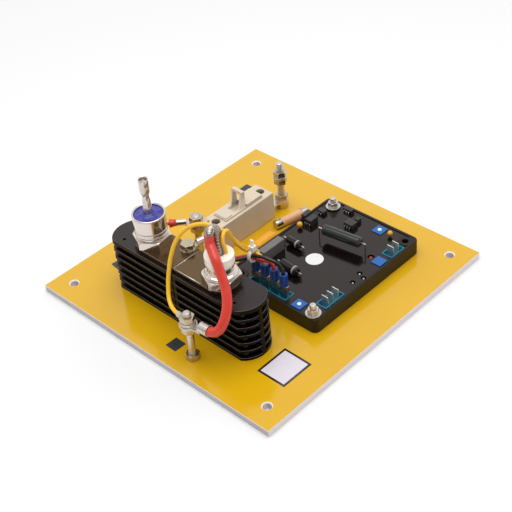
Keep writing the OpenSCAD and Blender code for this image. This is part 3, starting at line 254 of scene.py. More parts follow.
plies = add(
    laminate,
    "ShaderNodeTexNoise",
    {"Vector": ply_stretch.outputs[0], "Scale": 1.0, "Detail": 3.0},
)
ply_tone = add(
    laminate,
    "ShaderNodeMix",
    {0: plies.outputs["Fac"], COLOUR_A: linear("A8A0A4"), COLOUR_B: linear("C8C0C3")},
    data_type="RGBA",
)
# Painted light: the plies are paler along the top arris and on the right-hand edge that faces the lamp
ply_place = add(laminate, "ShaderNodeSeparateXYZ", {0: laminate_place.outputs["Object"]})
arris = add(
    laminate,
    "ShaderNodeMapRange",
    {"Value": ply_place.outputs["Z"], "From Min": 4.7 * MM, "From Max": 5.5 * MM},
)
lit_right_edge = add(
    laminate,
    "ShaderNodeMapRange",
    {"Value": face_way.outputs["X"], "From Min": 0.5, "To Max": 0.75},
)
painted_edge_light = add(
    laminate,
    "ShaderNodeMath",
    {0: arris.outputs["Result"], 1: lit_right_edge.outputs["Result"]},
    operation="MAXIMUM",
)
edge_tone = add(
    laminate,
    "ShaderNodeMix",
    {0: painted_edge_light.outputs[0], COLOUR_A: ply_tone.outputs[MIXED], COLOUR_B: linear("F3E8E6")},
    data_type="RGBA",
)
add(
    laminate,
    "ShaderNodeMix",
    {0: sawn.outputs[0], COLOUR_A: face_tone.outputs[MIXED], COLOUR_B: edge_tone.outputs[MIXED]},
    to={"Base Color": MIXED},
    data_type="RGBA",
)
skin_ripple = add(
    laminate,
    "ShaderNodeTexNoise",
    {"Vector": laminate_place.outputs["Object"], "Scale": 1 / (6 * MM), "Detail": 2.0},
)
add(
    laminate,
    "ShaderNodeBump",
    {"Height": skin_ripple.outputs["Fac"], "Strength": 0.04, "Distance": 0.2 * MM},
    to={"Normal": 0},
)
edged("base_plate", laminate, 0.5)

# Labels: a white label with a printed black border and three bare grey tags, cut from film and
# stuck on the plate by hand, some of them a little askew.


def moulded(name, light, dark, roughness, grain, relief, hollow_shade=None, gloss=None):
    """Moulded plastic or resin: grain is the size and relief the depth of its texture, in mm.
    A shade colour, if given, is painted into its hollows as painted shade, and gloss sets the shader's
    specular sockets."""
    material = surface(name, {"IOR": 1.5, **(gloss or {})})
    coordinates = add(material, "ShaderNodeTexCoord")
    cloud = add(
        material,
        "ShaderNodeTexNoise",
        {"Vector": coordinates.outputs["Object"], "Scale": 1 / (9 * MM), "Detail": 4.0},
    )
    tone = add(
        material,
        "ShaderNodeMix",
        {0: cloud.outputs["Fac"], COLOUR_A: linear(dark), COLOUR_B: linear(light)},
        to={"Base Color": MIXED},
        data_type="RGBA",
    )
    # Painted shade: the given colour darkens where ambient occlusion finds hollows
    if hollow_shade:
        hollow = add(material, "ShaderNodeAmbientOcclusion", {"Distance": 9 * MM}, samples=8)
        open_air = add(
            material,
            "ShaderNodeMapRange",
            {"Value": hollow.outputs["AO"], "From Min": 0.1, "From Max": 0.5},
        )
        add(
            material,
            "ShaderNodeMix",
            {0: open_air.outputs["Result"], COLOUR_A: linear(hollow_shade), COLOUR_B: tone.outputs[MIXED]},
            to={"Base Color": MIXED},
            data_type="RGBA",
        )
    grit = add(
        material,
        "ShaderNodeTexNoise",
        {"Vector": coordinates.outputs["Object"], "Scale": 1 / (grain * MM), "Detail": 3.0},
    )
    add(
        material,
        "ShaderNodeMapRange",
        {"Value": grit.outputs["Fac"], "To Min": roughness * 0.8, "To Max": roughness * 1.2},
        to={"Roughness": 0},
    )
    add(
        material,
        "ShaderNodeBump",
        {"Height": grit.outputs["Fac"], "Strength": 0.4, "Distance": relief * MM},
        to={"Normal": 0},
    )
    return material


def reach(node):
    """The lowest and the highest corner of a CAD node, in mm."""
    points = [point.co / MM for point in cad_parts[node].data.vertices]
    return [Vector([limit(axis) for axis in zip(*points)]) for limit in (min, max)]


def oblong(left, front, right, back):
    """The outline of a rectangle, in mm."""
    return [(left, front), (right, front), (right, back), (left, back)]


def sheet(outline, level, thickness):
    """A bmesh of a flat sheet over an outline and a level in mm, and its top face."""
    mesh = bmesh.new()
    mesh.faces.new([mesh.verts.new((x * MM, y * MM, level * MM)) for x, y in outline])
    lifted = bmesh.ops.extrude_face_region(mesh, geom=mesh.faces[:])["geom"]
    tops = [part for part in lifted if isinstance(part, bmesh.types.BMVert)]
    bmesh.ops.translate(mesh, verts=tops, vec=(0, 0, thickness * MM))
    bmesh.ops.recalc_face_normals(mesh, faces=mesh.faces)
    return mesh, max(mesh.faces, key=lambda face: face.calc_center_median().z)


def placed(mesh, place, turn=0, lying=False):
    """Turns a bmesh about Z, in degrees, and moves it to a place in mm. A lying one is first
    tipped from the Z axis to the X axis."""
    turning = Matrix.Rotation(math.radians(turn), 3, "Z")
    if lying:
        turning = turning @ Matrix.Rotation(math.radians(90), 3, "Y")
    bmesh.ops.rotate(mesh, verts=mesh.verts, matrix=turning)
    bmesh.ops.translate(mesh, verts=mesh.verts, vec=Vector(place) * MM)
    return mesh


# Printed film: satin white with a black border, faintly wavy where it lifts
label_white = moulded("white label film", "DCD5DE", "D2CBD5", 0.3, 4.0, 0.08)
label_black = moulded("black label ink", "1E1C1D", "161415", 0.3, 4.0, 0.08)
PLATE_TOP = reach("base_plate")[1].z
LABEL_THICK, BORDER_WIDE = 0.15, 1.8
label_outline = [(78.2, -86.9), (104.7, -86.8), (104.8, -56.8), (78, -56.5)]
label_mesh, label_top = sheet(label_outline, PLATE_TOP, LABEL_THICK)
bmesh.ops.inset_region(label_mesh, faces=[label_top], thickness=BORDER_WIDE * MM, use_even_offset=True)
label_top.material_index = 1
piece("border_label", label_mesh, [label_black, label_white])
# Grey film: slate colour, satin
tag_grey = moulded("slate tag film", "3A3C3F", "2A2C2F", 0.32, 3.0, 0.06)
TAG_HALF, TAG_THICK = 5.5, 0.25
tag_places = (
    ("front_tag", 10.8, -105.6, -2),
    ("left_tag", -96.2, -68, -8),
    ("back_tag", -86.5, 73.1, 0),
)
for tag_name, tag_x, tag_y, tag_turn in tag_places:
    tag_mesh = sheet(oblong(-TAG_HALF, -TAG_HALF, TAG_HALF, TAG_HALF), 0, TAG_THICK)[0]
    placed(tag_mesh, (tag_x, tag_y, PLATE_TOP), tag_turn)
    rounded(piece(tag_name, tag_mesh, [tag_grey]), 0.1)

# Heat sinks: two lengths of finned aluminium extrusion with a round ribbed end, dyed black by
# anodising and screwed to the plate from below. Their upper edges carry a painted grey highlight.
# Black anodised aluminium: satin black, drawn lines along the extrusion, painted grey highlight on
# upper edges
anodised = surface("black anodised aluminium", {"IOR": 1.5, "Specular Tint": linear("FFEDE8")})
anodised_place = add(anodised, "ShaderNodeTexCoord")
die_stretch = add(
    anodised,
    "ShaderNodeMapping",
    {
        "Vector": anodised_place.outputs["Object"],
        "Scale": [1 / (size * MM) for size in (40, 0.9, 0.9)],
    },
)
die_lines = add(
    anodised,
    "ShaderNodeTexNoise",
    {"Vector": die_stretch.outputs[0], "Scale": 1.0, "Detail": 4.0},
)
dye = add(
    anodised,
    "ShaderNodeMix",
    {0: die_lines.outputs["Fac"], COLOUR_A: linear("050404"), COLOUR_B: linear("0F0D0E")},
    data_type="RGBA",
)
# Painted highlight: bevels tilted about halfway up are painted grey, where the fin edges catch the
# light
edge_way = add(anodised, "ShaderNodeSeparateXYZ", {0: anodised_place.outputs["Normal"]})
off_edge = add(anodised, "ShaderNodeMath", {0: edge_way.outputs["Z"], 1: 0.68}, operation="SUBTRACT")
from_edge = add(anodised, "ShaderNodeMath", {0: off_edge.outputs[0]}, operation="ABSOLUTE")
painted_edge_glint = add(
    anodised,
    "ShaderNodeMapRange",
    {"Value": from_edge.outputs[0], "From Min": 0.12, "From Max": 0.28, "To Min": 0.9, "To Max": 0.0},
)
add(
    anodised,
    "ShaderNodeMix",
    {0: painted_edge_glint.outputs["Result"], COLOUR_A: dye.outputs[MIXED], COLOUR_B: linear("8A8588")},
    to={"Base Color": MIXED},
    data_type="RGBA",
)
add(
    anodised,
    "ShaderNodeMapRange",
    {"Value": die_lines.outputs["Fac"], "To Min": 0.16, "To Max": 0.34},
    to={"Roughness": 0},
)
add(
    anodised,
    "ShaderNodeBump",
    {"Height": die_lines.outputs["Fac"], "Strength": 0.1, "Distance": 0.05 * MM},
    to={"Normal": 0},
)
# Painted shade: the sides reflect less than the tops, so the fin faces look darker
add(
    anodised,
    "ShaderNodeMapRange",
    {"Value": edge_way.outputs["Z"], "To Min": 0.1, "To Max": 0.55},
    to={"Specular IOR Level": 0},
)
for sink in ("heatsink_diode", "heatsink_thyristor"):
    edged(sink, anodised, 0.25, clamped=False)
# The end walls close both sinks where they meet, a little inside the faces of the extrusion
WALL_THICK, WALL_HIGH, WALL_LIFT = 3.1, 45, 0.4
END_INSET, SIDE_INSET = 0.1, 0.2
diode_sink_end = reach("heatsink_diode")[1].x
sink_low, sink_high = reach("heatsink_thyristor")
for wall, wall_left in enumerate((diode_sink_end - END_INSET - WALL_THICK, sink_low.x + END_INSET)):
    wall_outline = oblong(
        wall_left,
        sink_low.y + SIDE_INSET,
        wall_left + WALL_THICK,
        sink_high.y - SIDE_INSET,
    )
    wall_mesh = sheet(wall_outline, sink_low.z + WALL_LIFT, WALL_HIGH)[0]
    rounded(piece(f"sink_end_wall_{wall}", wall_mesh, [anodised]), 0.3)


def plated(name, light, dark, roughness, marks):
    """Plated metal: marks are the sizes in mm of its marks along X, Y and Z."""
    material = surface(name, {"Metallic": 1.0})
    coordinates = add(material, "ShaderNodeTexCoord")
    stretch = add(
        material,
        "ShaderNodeMapping",
        {"Vector": coordinates.outputs["Object"], "Scale": [1 / (size * MM) for size in marks]},
    )
    grain = add(
        material,
        "ShaderNodeTexNoise",
        {"Vector": stretch.outputs[0], "Scale": 1.0, "Detail": 5.0},
    )
    add(
        material,
        "ShaderNodeMix",
        {0: grain.outputs["Fac"], COLOUR_A: linear(dark), COLOUR_B: linear(light)},
        to={"Base Color": MIXED},
        data_type="RGBA",
    )
    add(
        material,
        "ShaderNodeMapRange",
        {"Value": grain.outputs["Fac"], "To Min": roughness * 0.8, "To Max": roughness * 1.2},
        to={"Roughness": 0},
    )
    add(
        material,
        "ShaderNodeBump",
        {"Height": grain.outputs["Fac"], "Strength": 0.06, "Distance": 0.05 * MM},
        to={"Normal": 0},
    )
    return material


# Zinc plated steel: grey with a warm passivated tint, softly mottled
zinc = plated("zinc plated steel", "E2DCD6", "C4BCB4", 0.34, (2.5, 2.5, 1.2))
edged("heatsink_screws", zinc, 0.2)

# Mounting bars: two flat copper bars, nickel plated and brushed along their length, which
# carry the devices on top of the heat sinks. Their nickel has dulled to a grey brown.
# Dulled nickel plate: grey brown with fine lines along the bar
dulled_nickel = plated("dulled nickel plate", "7A6349", "68543C", 0.2, (30, 0.9, 0.9))
for bar in ("diode_bar", "thyristor_bar"):
    edged(bar, dulled_nickel, 0.5)
# Arris strips: bright nickel laid along the bar's seam and front edges, as painted highlights
highlight_nickel = plated("bared bright arris", "F4EEE6", "DDD5CB", 0.35, (6, 6, 6))
ARRIS_WIDE, ARRIS_DEEP, ARRIS_PROUD, ARRIS_INSET = 0.5, 0.4, 0.04, 0.1
FRONT_ARRIS_END = 24
bar_low, bar_high = reach("thyristor_bar")
seam = bar_low.x + ARRIS_INSET
seam_arris = oblong(seam, bar_low.y + ARRIS_INSET, seam + ARRIS_WIDE, bar_high.y - ARRIS_INSET)
front_arris = oblong(seam, bar_low.y, FRONT_ARRIS_END, bar_low.y + ARRIS_WIDE)
for arris_name, arris_outline in (("seam_arris", seam_arris), ("front_arris", front_arris)):
    arris_mesh = sheet(arris_outline, bar_high.z - ARRIS_DEEP, ARRIS_DEEP + ARRIS_PROUD)[0]
    piece(arris_name, arris_mesh, [highlight_nickel])

# Stud diode: a hexagon base turned in one with its stud, a rolled can, a blue resin seal and a
# tinned lead crimped into a cup that stands straight up.
# Turned nickel plate: bright and warm, with fine rings round each can
turned_nickel = plated("turned nickel plate", "EBE2DA", "CFC4BA", 0.16, (7, 7, 0.35))
# Tinned copper: soft grey-white, blotched where the crimp pressed it
tinned = plated("tinned copper", "E4DCD4", "BEB3AA", 0.28, (1.6, 1.6, 1.6))
# Sealing epoxy: royal blue, glossy and lumpy where it was dropped in
blue_epoxy = moulded("blue sealing epoxy", "4347A6", "23257A", 0.2, 1.6, 0.3)
edged("diode_base", turned_nickel, 0.4)
edged("diode_can", turned_nickel, 0.25, clamped=False)


def turned(profile, steps=40):
    """A bmesh turned about the Z axis from pairs of radius and height in mm."""
    mesh = bmesh.new()
    points = [mesh.verts.new((radius * MM, 0, level * MM)) for radius, level in profile]
    edges = [mesh.edges.new(pair) for pair in zip(points, points[1:])]
    bmesh.ops.spin(
        mesh,
        geom=points + edges,
        cent=(0, 0, 0),
        axis=(0, 0, 1),
        angle=math.tau,
        steps=steps,
        use_merge=True,
    )
    bmesh.ops.remove_doubles(mesh, verts=mesh.verts, dist=MERGE)
    bmesh.ops.recalc_face_normals(mesh, faces=mesh.faces)
    return mesh


DIODE_AXIS = (-43, -70.5, 0)
CAN_STEPS = 72
lip_profile = [
    (11.6, 84.4), (11.75, 85.1), (12.3, 85.4), (12.95, 85.3), (13.2, 84.8), (13.2, 84.1),
    (12.8, 83.6), (12.4, 83.6), (11.6, 84.4),
]
lip_mesh = placed(turned(lip_profile, steps=CAN_STEPS), DIODE_AXIS)
piece("diode_can_lip", lip_mesh, [turned_nickel])
seal_profile = [
    (0, 74.2), (11.5, 74.2), (11.5, 83.9), (10.9, 84.2), (9.8, 84), (8.8, 84), (7.8, 84.1),
    (6.8, 84.3), (5.8, 84.6), (4.9, 85.1), (4.3, 85.9), (3.8, 85.9), (3.8, 79.4), (0, 79.4),
]
LUMPS_ABOVE, LUMP_SIZE, LUMP_HIGH = 83, 3.4, 0.5
poured_mesh = turned(seal_profile, steps=CAN_STEPS)
for point in poured_mesh.verts:
    if point.co.z > LUMPS_ABOVE * MM:
        point.co.z += noise.noise(point.co / (LUMP_SIZE * MM)) * LUMP_HIGH * MM
poured_seal = piece("diode_seal_poured", placed(poured_mesh, DIODE_AXIS), [blue_epoxy])
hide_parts("diode_seal")
stem_profile = [
    (0, 79.4), (3.9, 79.4), (3.8, 84), (3.6, 88), (3.5, 92), (3.3, 96), (2.9, 99), (2.8, 101),
    (3.2, 103), (3.9, 105), (4.0, 108), (3.7, 110), (4.0, 112), (4.1, 114.4), (3.9, 116.1),
    (3.3, 116.0), (3.0, 114), (2.9, 111), (0, 110.4),
]
DENT_SIZE, DENT_DEEP, SQUEEZED_IN, CORE_RADIUS = 2.4, 0.32, 0.1, 1
stem_mesh = turned(stem_profile)
bmesh.ops.subdivide_edges(stem_mesh, edges=stem_mesh.edges[:], cuts=1, use_grid_fill=True)
for point in stem_mesh.verts:
    dent = noise.noise(point.co / (DENT_SIZE * MM)) * DENT_DEEP - SQUEEZED_IN
    outward = Vector((point.co.x, point.co.y, 0))
    if outward.length > CORE_RADIUS * MM:
        point.co += outward.normalized() * dent * MM
stem = piece("diode_stem_crimped", placed(stem_mesh, DIODE_AXIS), [tinned])
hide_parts("diode_stem")

# Stud thyristor: the same base under a waisted can, a glazed ceramic and a tinned braid that
# turns over at the top into the heavy red lead.
# Glazed ceramic: milk white and wet looking
ceramic = moulded("glazed ceramic", "FBF7EC", "F0EADB", 0.12, 3.0, 0.04)
# Copper braid: tinned strands woven at a slant, dark between them
braid = surface("tinned copper braid", {"Metallic": 1.0, "Roughness": 0.32})
braid_place = add(braid, "ShaderNodeTexCoord")
# A Wave texture repeats about 0.3 units apart at a scale of one
STRAND, WAVE_REPEAT = 1.0, 0.3
strands = []
for slant in (math.radians(35), math.radians(-35)):
    lay = add(
        braid,
        "ShaderNodeMapping",
        {"Vector": braid_place.outputs["Object"], "Rotation": (slant, slant, 0)},
    )
    strands.append(
        add(
            braid,
            "ShaderNodeTexWave",
            {
                "Vector": lay.outputs[0],
                "Scale": WAVE_REPEAT / (STRAND * MM),
                "Distortion": 1.5,
                "Detail": 2.0,
            },
            bands_direction="Z",
        )
    )
weave = add(
    braid,
    "ShaderNodeMath",
    {0: strands[0].outputs["Fac"], 1: strands[1].outputs["Fac"]},
    operation="MULTIPLY",
)
add(
    braid,
    "ShaderNodeMix",
    {0: weave.outputs[0], COLOUR_A: linear("8E837A"), COLOUR_B: linear("EEE7E0")},
    to={"Base Color": MIXED},
    data_type="RGBA",
)
add(
    braid,
    "ShaderNodeBump",
    {"Height": weave.outputs[0], "Strength": 0.6, "Distance": 0.3 * MM},
    to={"Normal": 0},
)
edged("thyristor_base", turned_nickel, 0.4)
edged("thyristor_can", turned_nickel, 0.25, clamped=False)
edged("thyristor_ceramic", ceramic, 0.35, clamped=False)
edged("thyristor_braid", braid, 0.2, clamped=False)

# Bar bolt: a hexagon screw, yellow passivated, that clamps the black wire's lug on the diode's
# bar.
# Yellow passivated zinc: straw colour over grey that shifts from face to face
straw_zinc = plated("yellow passivated zinc", "D8CCB4", "B5A588", 0.24, (3, 3, 2))
edged("bar_bolt", straw_zinc, 0.25)

# Terminal studs: three threaded rods through the plate, with nuts, washers, crimped lugs and
# the flat straps of the fuse holder stacked on them.
PITCH, STEPS_A_TURN = 1.0, 20
RIDGE_HALF, RIDGE_PROUD, RIDGE_SUNK = 0.4, 0.2, 0.1


def threaded(mesh, axis, radius, low, high):
    """Adds the ridge of a screw thread round a vertical axis, all in mm."""
    turns = (high - low) / PITCH
    steps = round(turns * STEPS_A_TURN)
    profile = (
        (radius - RIDGE_SUNK, -RIDGE_HALF),
        (radius + RIDGE_PROUD, 0),
        (radius - RIDGE_SUNK, RIDGE_HALF),
    )
    points = [mesh.verts.new(((axis[0] + r) * MM, axis[1] * MM, (low + z) * MM)) for r, z in profile]
    ridge = [mesh.edges.new((points[i - 1], points[i])) for i in range(3)]
    bmesh.ops.spin(
        mesh,
        geom=points + ridge,
        cent=(axis[0] * MM, axis[1] * MM, 0),
        axis=(0, 0, 1),
        dvec=(0, 0, (high - low) / steps * MM),
        angle=turns * math.tau,
        steps=steps,
    )
    bmesh.ops.holes_fill(mesh, edges=[edge for edge in mesh.edges if edge.is_boundary])
    bmesh.ops.recalc_face_normals(mesh, faces=mesh.faces)


FRONT_STUD, REAR_STUD = (31.5, -107), (-44.5, 74)
STUD_RADIUS, STUD_THREAD_END = 3, 50.4
stud_threads = bmesh.new()
for stud, thread_start in ((FRONT_STUD, 48.4), (REAR_STUD, 44)):
    threaded(stud_threads, stud, STUD_RADIUS, thread_start, STUD_THREAD_END)
piece("stud_threads", stud_threads, [zinc])
edged("terminal_studs", zinc, 0.2)
edged("terminal_nuts", straw_zinc, 0.3)
edged("terminal_washers", zinc, 0.15)
edged("ring_lugs", tinned, 0.2)
edged("heavy_lug", tinned, 0.25, clamped=False)
edged("fuse_straps", tinned, 0.15)

# Fuse holder: a compression moulded base fixed flat on the plate, with a pull-out carrier that
# lifts the cartridge fuse out by its finger loop.
# Beige thermoset: matt stone colour with fine grain, with painted shade down its screw wells
beige = moulded("beige thermoset", "D6C7B2", "C8B79F", 0.42, 0.9, 0.06, hollow_shade="2A1D14")
# Spring brass: yellow metal with lines from the rolling
brass = plated("spring brass", "D9B866", "B28F44", 0.28, (6, 1, 1))
edged("fuse_base", beige, 0.5, clamped=False)
edged("fuse_carrier", beige, 0.5, "carrier")
# The carrier's top rises in a deck behind the finger loop
DECK_FRONT, DECK_INSET, DECK_FOOT, DECK_HIGH = 29.3, 0.4, 33.1, 2.1
carrier_low, carrier_high = reach("fuse_carrier")
deck_outline = oblong(carrier_low.x, DECK_FRONT, carrier_high.x, carrier_high.y - DECK_INSET)
deck_mesh = sheet(deck_outline, DECK_FOOT, DECK_HIGH)[0]
rounded(piece("grip_deck", deck_mesh, [beige], "carrier"), 0.4)
edged("fuse_link", ceramic, 0.3, "carrier")
edged("fuse_contacts", brass, 0.1)
edged("fuse_screws", zinc, 0.2)

# Spare fuse: a loose cartridge of peach fibre tube with two pressed caps, kept on the plate
# between the holder and the module.
# Vulcanised fibre: peach, matt, with faint winding lines
peach = moulded("vulcanised fibre", "E3B48A", "D6A276", 0.36, 1.2, 0.05)
# Pressed cap: tin plate with a dark tarnish
tarnished = plated("tarnished tin plate", "D9D2C9", "9A9087", 0.2, (4, 4, 4))
edged("spare_fuse_tube", peach, 0.2)
edged("spare_fuse_caps", tarnished, 0.35, clamped=False)

# Film capacitor: a wound block dipped in orange epoxy and glued flat on the plate beside the
# module.
# Dipped epoxy: orange-yellow and glossy, with the slump of the dip
orange_epoxy = moulded("dipped orange epoxy", "EBA91E", "DE9712", 0.14, 5.0, 0.5)
edged("film_capacitor", orange_epoxy, 1.2, clamped=False)

# Control module: a black moulded tray with the circuit board in it, potted level with resin
# and bolted down at two corners through broad washers.
# Black thermoplastic: charcoal with a brownish cast, satin from the mould
mould_satin = {"Specular IOR Level": 0.25}
black_plastic = moulded("black thermoplastic", "231C17", "191410", 0.34, 0.8, 0.05, gloss=mould_satin)
# Potting resin: black, self-levelled and glossy, so that it takes its grey from the wall
warm_gloss = {"Specular Tint": linear("FFEDE8")}
potting = moulded("potting resin", "120E0C", "0C0908", 0.12, 9.0, 0.1, gloss=warm_gloss)
# Soldermask: teal lacquer over glass board
soldermask = moulded("teal soldermask", "1590AE", "0C6E8C", 0.3, 1.4, 0.05)
edged("module_tray", black_plastic, 0.5, clamped=False)
edged("circuit_board", soldermask, 0.1)
edged("potting_resin", potting, 0.35)
edged("window_dams", soldermask, 0.15)
edged("module_bolts", zinc, 0.5)
edged("module_nuts", zinc, 0.25)
edged("module_washers", zinc, 0.15)
BOLT_RADIUS, BOLT_THREAD_START, BOLT_THREAD_END = 2.5, 24.6, 26.8
bolt_places = ((78.9, -24.65), (2.8, 87.25))
bolt_threads = bmesh.new()
for bolt in bolt_places:
    threaded(bolt_threads, bolt, BOLT_RADIUS, BOLT_THREAD_START, BOLT_THREAD_END)
piece("bolt_threads", bolt_threads, [zinc])

# Sticker: a round white paper seal, punched from a sheet and pressed on the middle of the
# resin once it had set.
# Seal paper: bright white and matt, with a soft pulp grain
seal_paper = moulded("white seal paper", "E4E4E6", "D9D9DB", 0.5, 1.0, 0.04)
SEAL_RADIUS, SEAL_THICK = 7.3, 0.12
RESIN_TOP = reach("potting_resin")[1].z
seal_place = (36.25, 25.35, RESIN_TOP)
seal_mesh = turned([(0, 0), (SEAL_RADIUS, 0), (SEAL_RADIUS, SEAL_THICK), (0, SEAL_THICK)], steps=64)
placed(seal_mesh, seal_place)
rounded(piece("round_sticker", seal_mesh, [seal_paper]), 0.05)

# Module components: axial parts on bent leads, moulded blocks, dipped beads, a lamp and test
# posts that stand out of the resin.
# Resistor enamel: dark green-grey glaze, slightly rough
enamel = moulded("cement enamel", "2C312D", "1E2320", 0.16, 1.5, 0.1)
# Moulding epoxy: black, glossy from a polished mould
black_epoxy = moulded("black moulding epoxy", "181515", "0E0C0C", 0.12, 0.9, 0.05)
# Capacitor case: mid grey plastic, satin
grey_plastic = moulded("grey capacitor case", "706B6B", "605B5B", 0.32, 0.9, 0.04)
# Block epoxy: charcoal, duller than the resin
block_epoxy = moulded("charcoal block epoxy", "322F30", "242122", 0.3, 0.9, 0.05)
# Lamp lens: dark red and wet looking
lens = moulded("red lamp lens", "7E1F22", "5E1518", 0.12, 3.0, 0.03)
edged("power_resistor", enamel, 0.5, clamped=False)
edged("resistor_leads", tinned, 0.1)
edged("rectifier_diodes", black_epoxy, 0.4)
edged("rectifier_leads", tinned, 0.1)
edged("box_capacitor", grey_plastic, 0.5)
edged("potted_blocks", block_epoxy, 0.35, clamped=False)
edged("bead_capacitors", orange_epoxy, 0.2)
edged("indicator_lamp", lens, 0.2)
edged("test_posts", tarnished, 0.2)


def bar_stock(mesh, size, middle):
    """Adds a small rectangular bar to a bmesh, in mm."""
    made = bmesh.ops.create_cube(mesh, size=MM)["verts"]
    bmesh.ops.scale(mesh, vec=size, verts=made)
    bmesh.ops.translate(mesh, vec=Vector(middle) * MM, verts=made)


# Each row of legs: how many, the middle of the block's face, and how far they rise off the resin
LEG_STEP, LEG_WIDE, LEG_THICK, LEG_OUT = 2.4, 0.8, 0.5, 1.1
LEG_ROOT, LEG_HEEL, LEG_SUNK = 0.1, 0.2, 0.6
leg_rows = ((3, 2.9, 54.95, 2.6), (2, 1, 72.95, 1.8), (3, 17, 88.25, 1.8), (3, 31.6, 71.9, 2.4))
leg_mesh = bmesh.new()
for legs, x, y, rise in leg_rows:
    knee = RESIN_TOP + rise
    foot_high = LEG_SUNK + rise + LEG_HEEL
    for leg in range(legs):
        along = x + (leg - (legs - 1) / 2) * LEG_STEP
        bar_stock(leg_mesh, (LEG_WIDE, LEG_OUT, LEG_THICK), (along, y - LEG_OUT / 2 + LEG_ROOT, knee))
        foot_middle = (along, y - LEG_OUT, knee + LEG_HEEL - foot_high / 2)
        bar_stock(leg_mesh, (LEG_WIDE, LEG_THICK, foot_high), foot_middle)
rounded(piece("block_legs", leg_mesh, [tinned]), 0.12)
# Printed band: pale grey ink round one end of each rectifier
band_ink = moulded("pale band ink", "A8A6A4", "8C8A88", 0.4, 0.8, 0.04)
BAND_WIDE, BAND_FROM_END, BAND_SUNK, BAND_PROUD = 1.6, 4.2, 0.3, 0.06
RECTIFIER_LEVEL = 22.8
# Each rectifier: its middle, diameter and length in mm, and its turn in degrees
bands = ((12.5, 27.25, 6.4, 15, -2), (31, 1.55, 7.6, 19, -4))
for band, (x, y, across, long, turn) in enumerate(bands):
    start = long / 2 - BAND_FROM_END
    end = start + BAND_WIDE
    inner, outer = across / 2 - BAND_SUNK, across / 2 + BAND_PROUD
    band_mesh = turned([(inner, start), (outer, start), (outer, end), (inner, end)])
    placed(band_mesh, (x, y, RECTIFIER_LEVEL), turn, lying=True)
    piece(f"rectifier_band_{band}", band_mesh, [band_ink])

# Terminals of the module: tinned blades in windows of the resin, with four push-on receptacles
# in blue vinyl sleeves on the front row.
# Vinyl: strong blue, softly shining where it stretches
vinyl = moulded("blue vinyl sleeve", "0E4698", "0A367C", 0.24, 1.6, 0.06)
# Bright tin: pale and satin, so that each blade catches the wall's light
bright_tin = plated("bright tin", "F4EEE6", "D8D0C6", 0.46, (1.6, 1.6, 1.6))
edged("blade_terminals", bright_tin, 0.2)
edged("push_receptacles", tinned, 0.2)
BOARD_TOP = reach("circuit_board")[1].z
JOINT_HIGH, JOINT_OUT, JOINT_FOOT, JOINT_TIP = 1.3, 2.1, 1.5, 0.5
blade_feet = [(x, -21.5) for x in (17, 27, 37, 47)]
blade_feet += [(77.5, y) for y in (-9.45, -3.45, 2.55)]
blade_feet += [(78.5, y) for y in (68.8, 75.3)]
joint_mesh = bmesh.new()
for x, y in blade_feet:
    for side in (-JOINT_OUT, JOINT_OUT):
        joint = bmesh.ops.create_cone(
            joint_mesh,
            cap_ends=True,
            segments=16,
            radius1=JOINT_FOOT * MM,
            radius2=JOINT_TIP * MM,
            depth=JOINT_HIGH * MM,
        )
        joint_middle = Vector((x + side, y, BOARD_TOP + JOINT_HIGH / 2))
        bmesh.ops.translate(joint_mesh, verts=joint["verts"], vec=joint_middle * MM)
rounded(piece("solder_joints", joint_mesh, [tinned]), 0.3)
edged("connector_sleeves", vinyl, 0.35, clamped=False)

# Trimmers: square blue potentiometers with a slotted white rotor each, and one plain blue
# block, all potted up to their tops.
# Trimmer case: bright blue plastic, satin
blue_plastic = moulded("blue trimmer case", "0A62B0", "08529A", 0.4, 0.8, 0.03)
# Trimmer rotor: white plastic
white_plastic = moulded("white trimmer rotor", "F2F5F8", "E4E9EE", 0.35, 0.6, 0.02)
edged("trimmer_bodies", blue_plastic, 0.3)
edged("trimmer_rotor_near", white_plastic, 0.15, "near_trimmer")
edged("trimmer_rotor_far", white_plastic, 0.15, "far_trimmer")

# Wiring: six insulated leads between the devices, the studs and the module, cut to length and
# crimped into lugs and receptacles.
# Insulation: red, yellow and black vinyl with a soft shine and faint ripples from bending
red_pvc = moulded("red insulation", "D8402E", "C93425", 0.32, 3.0, 0.08)
yellow_pvc = moulded("yellow insulation", "F7C322", "EFB315", 0.32, 3.0, 0.08)
black_pvc = moulded("black insulation", "1A1717", "100E0E", 0.3, 3.0, 0.08)


def lead(node, material, diameter, route):
    """A free lead along its route, in mm, which stands for its CAD node."""
    line = bpy.data.curves.new(node + "_insulated", "CURVE")
    line.dimensions = "3D"
    line.resolution_u = 8
    line.bevel_depth = diameter / 2 * MM
    line.bevel_resolution = 6
    line.use_fill_caps = True
    run = line.splines.new("BEZIER")
    run.bezier_points.add(len(route) - 1)
    for point, place in zip(run.bezier_points, route):
        point.co = Vector(place) * MM
        point.handle_left_type = point.handle_right_type = "AUTO"
    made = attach(shown(node + "_insulated", line, [material]), "regulator")
    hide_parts(node)


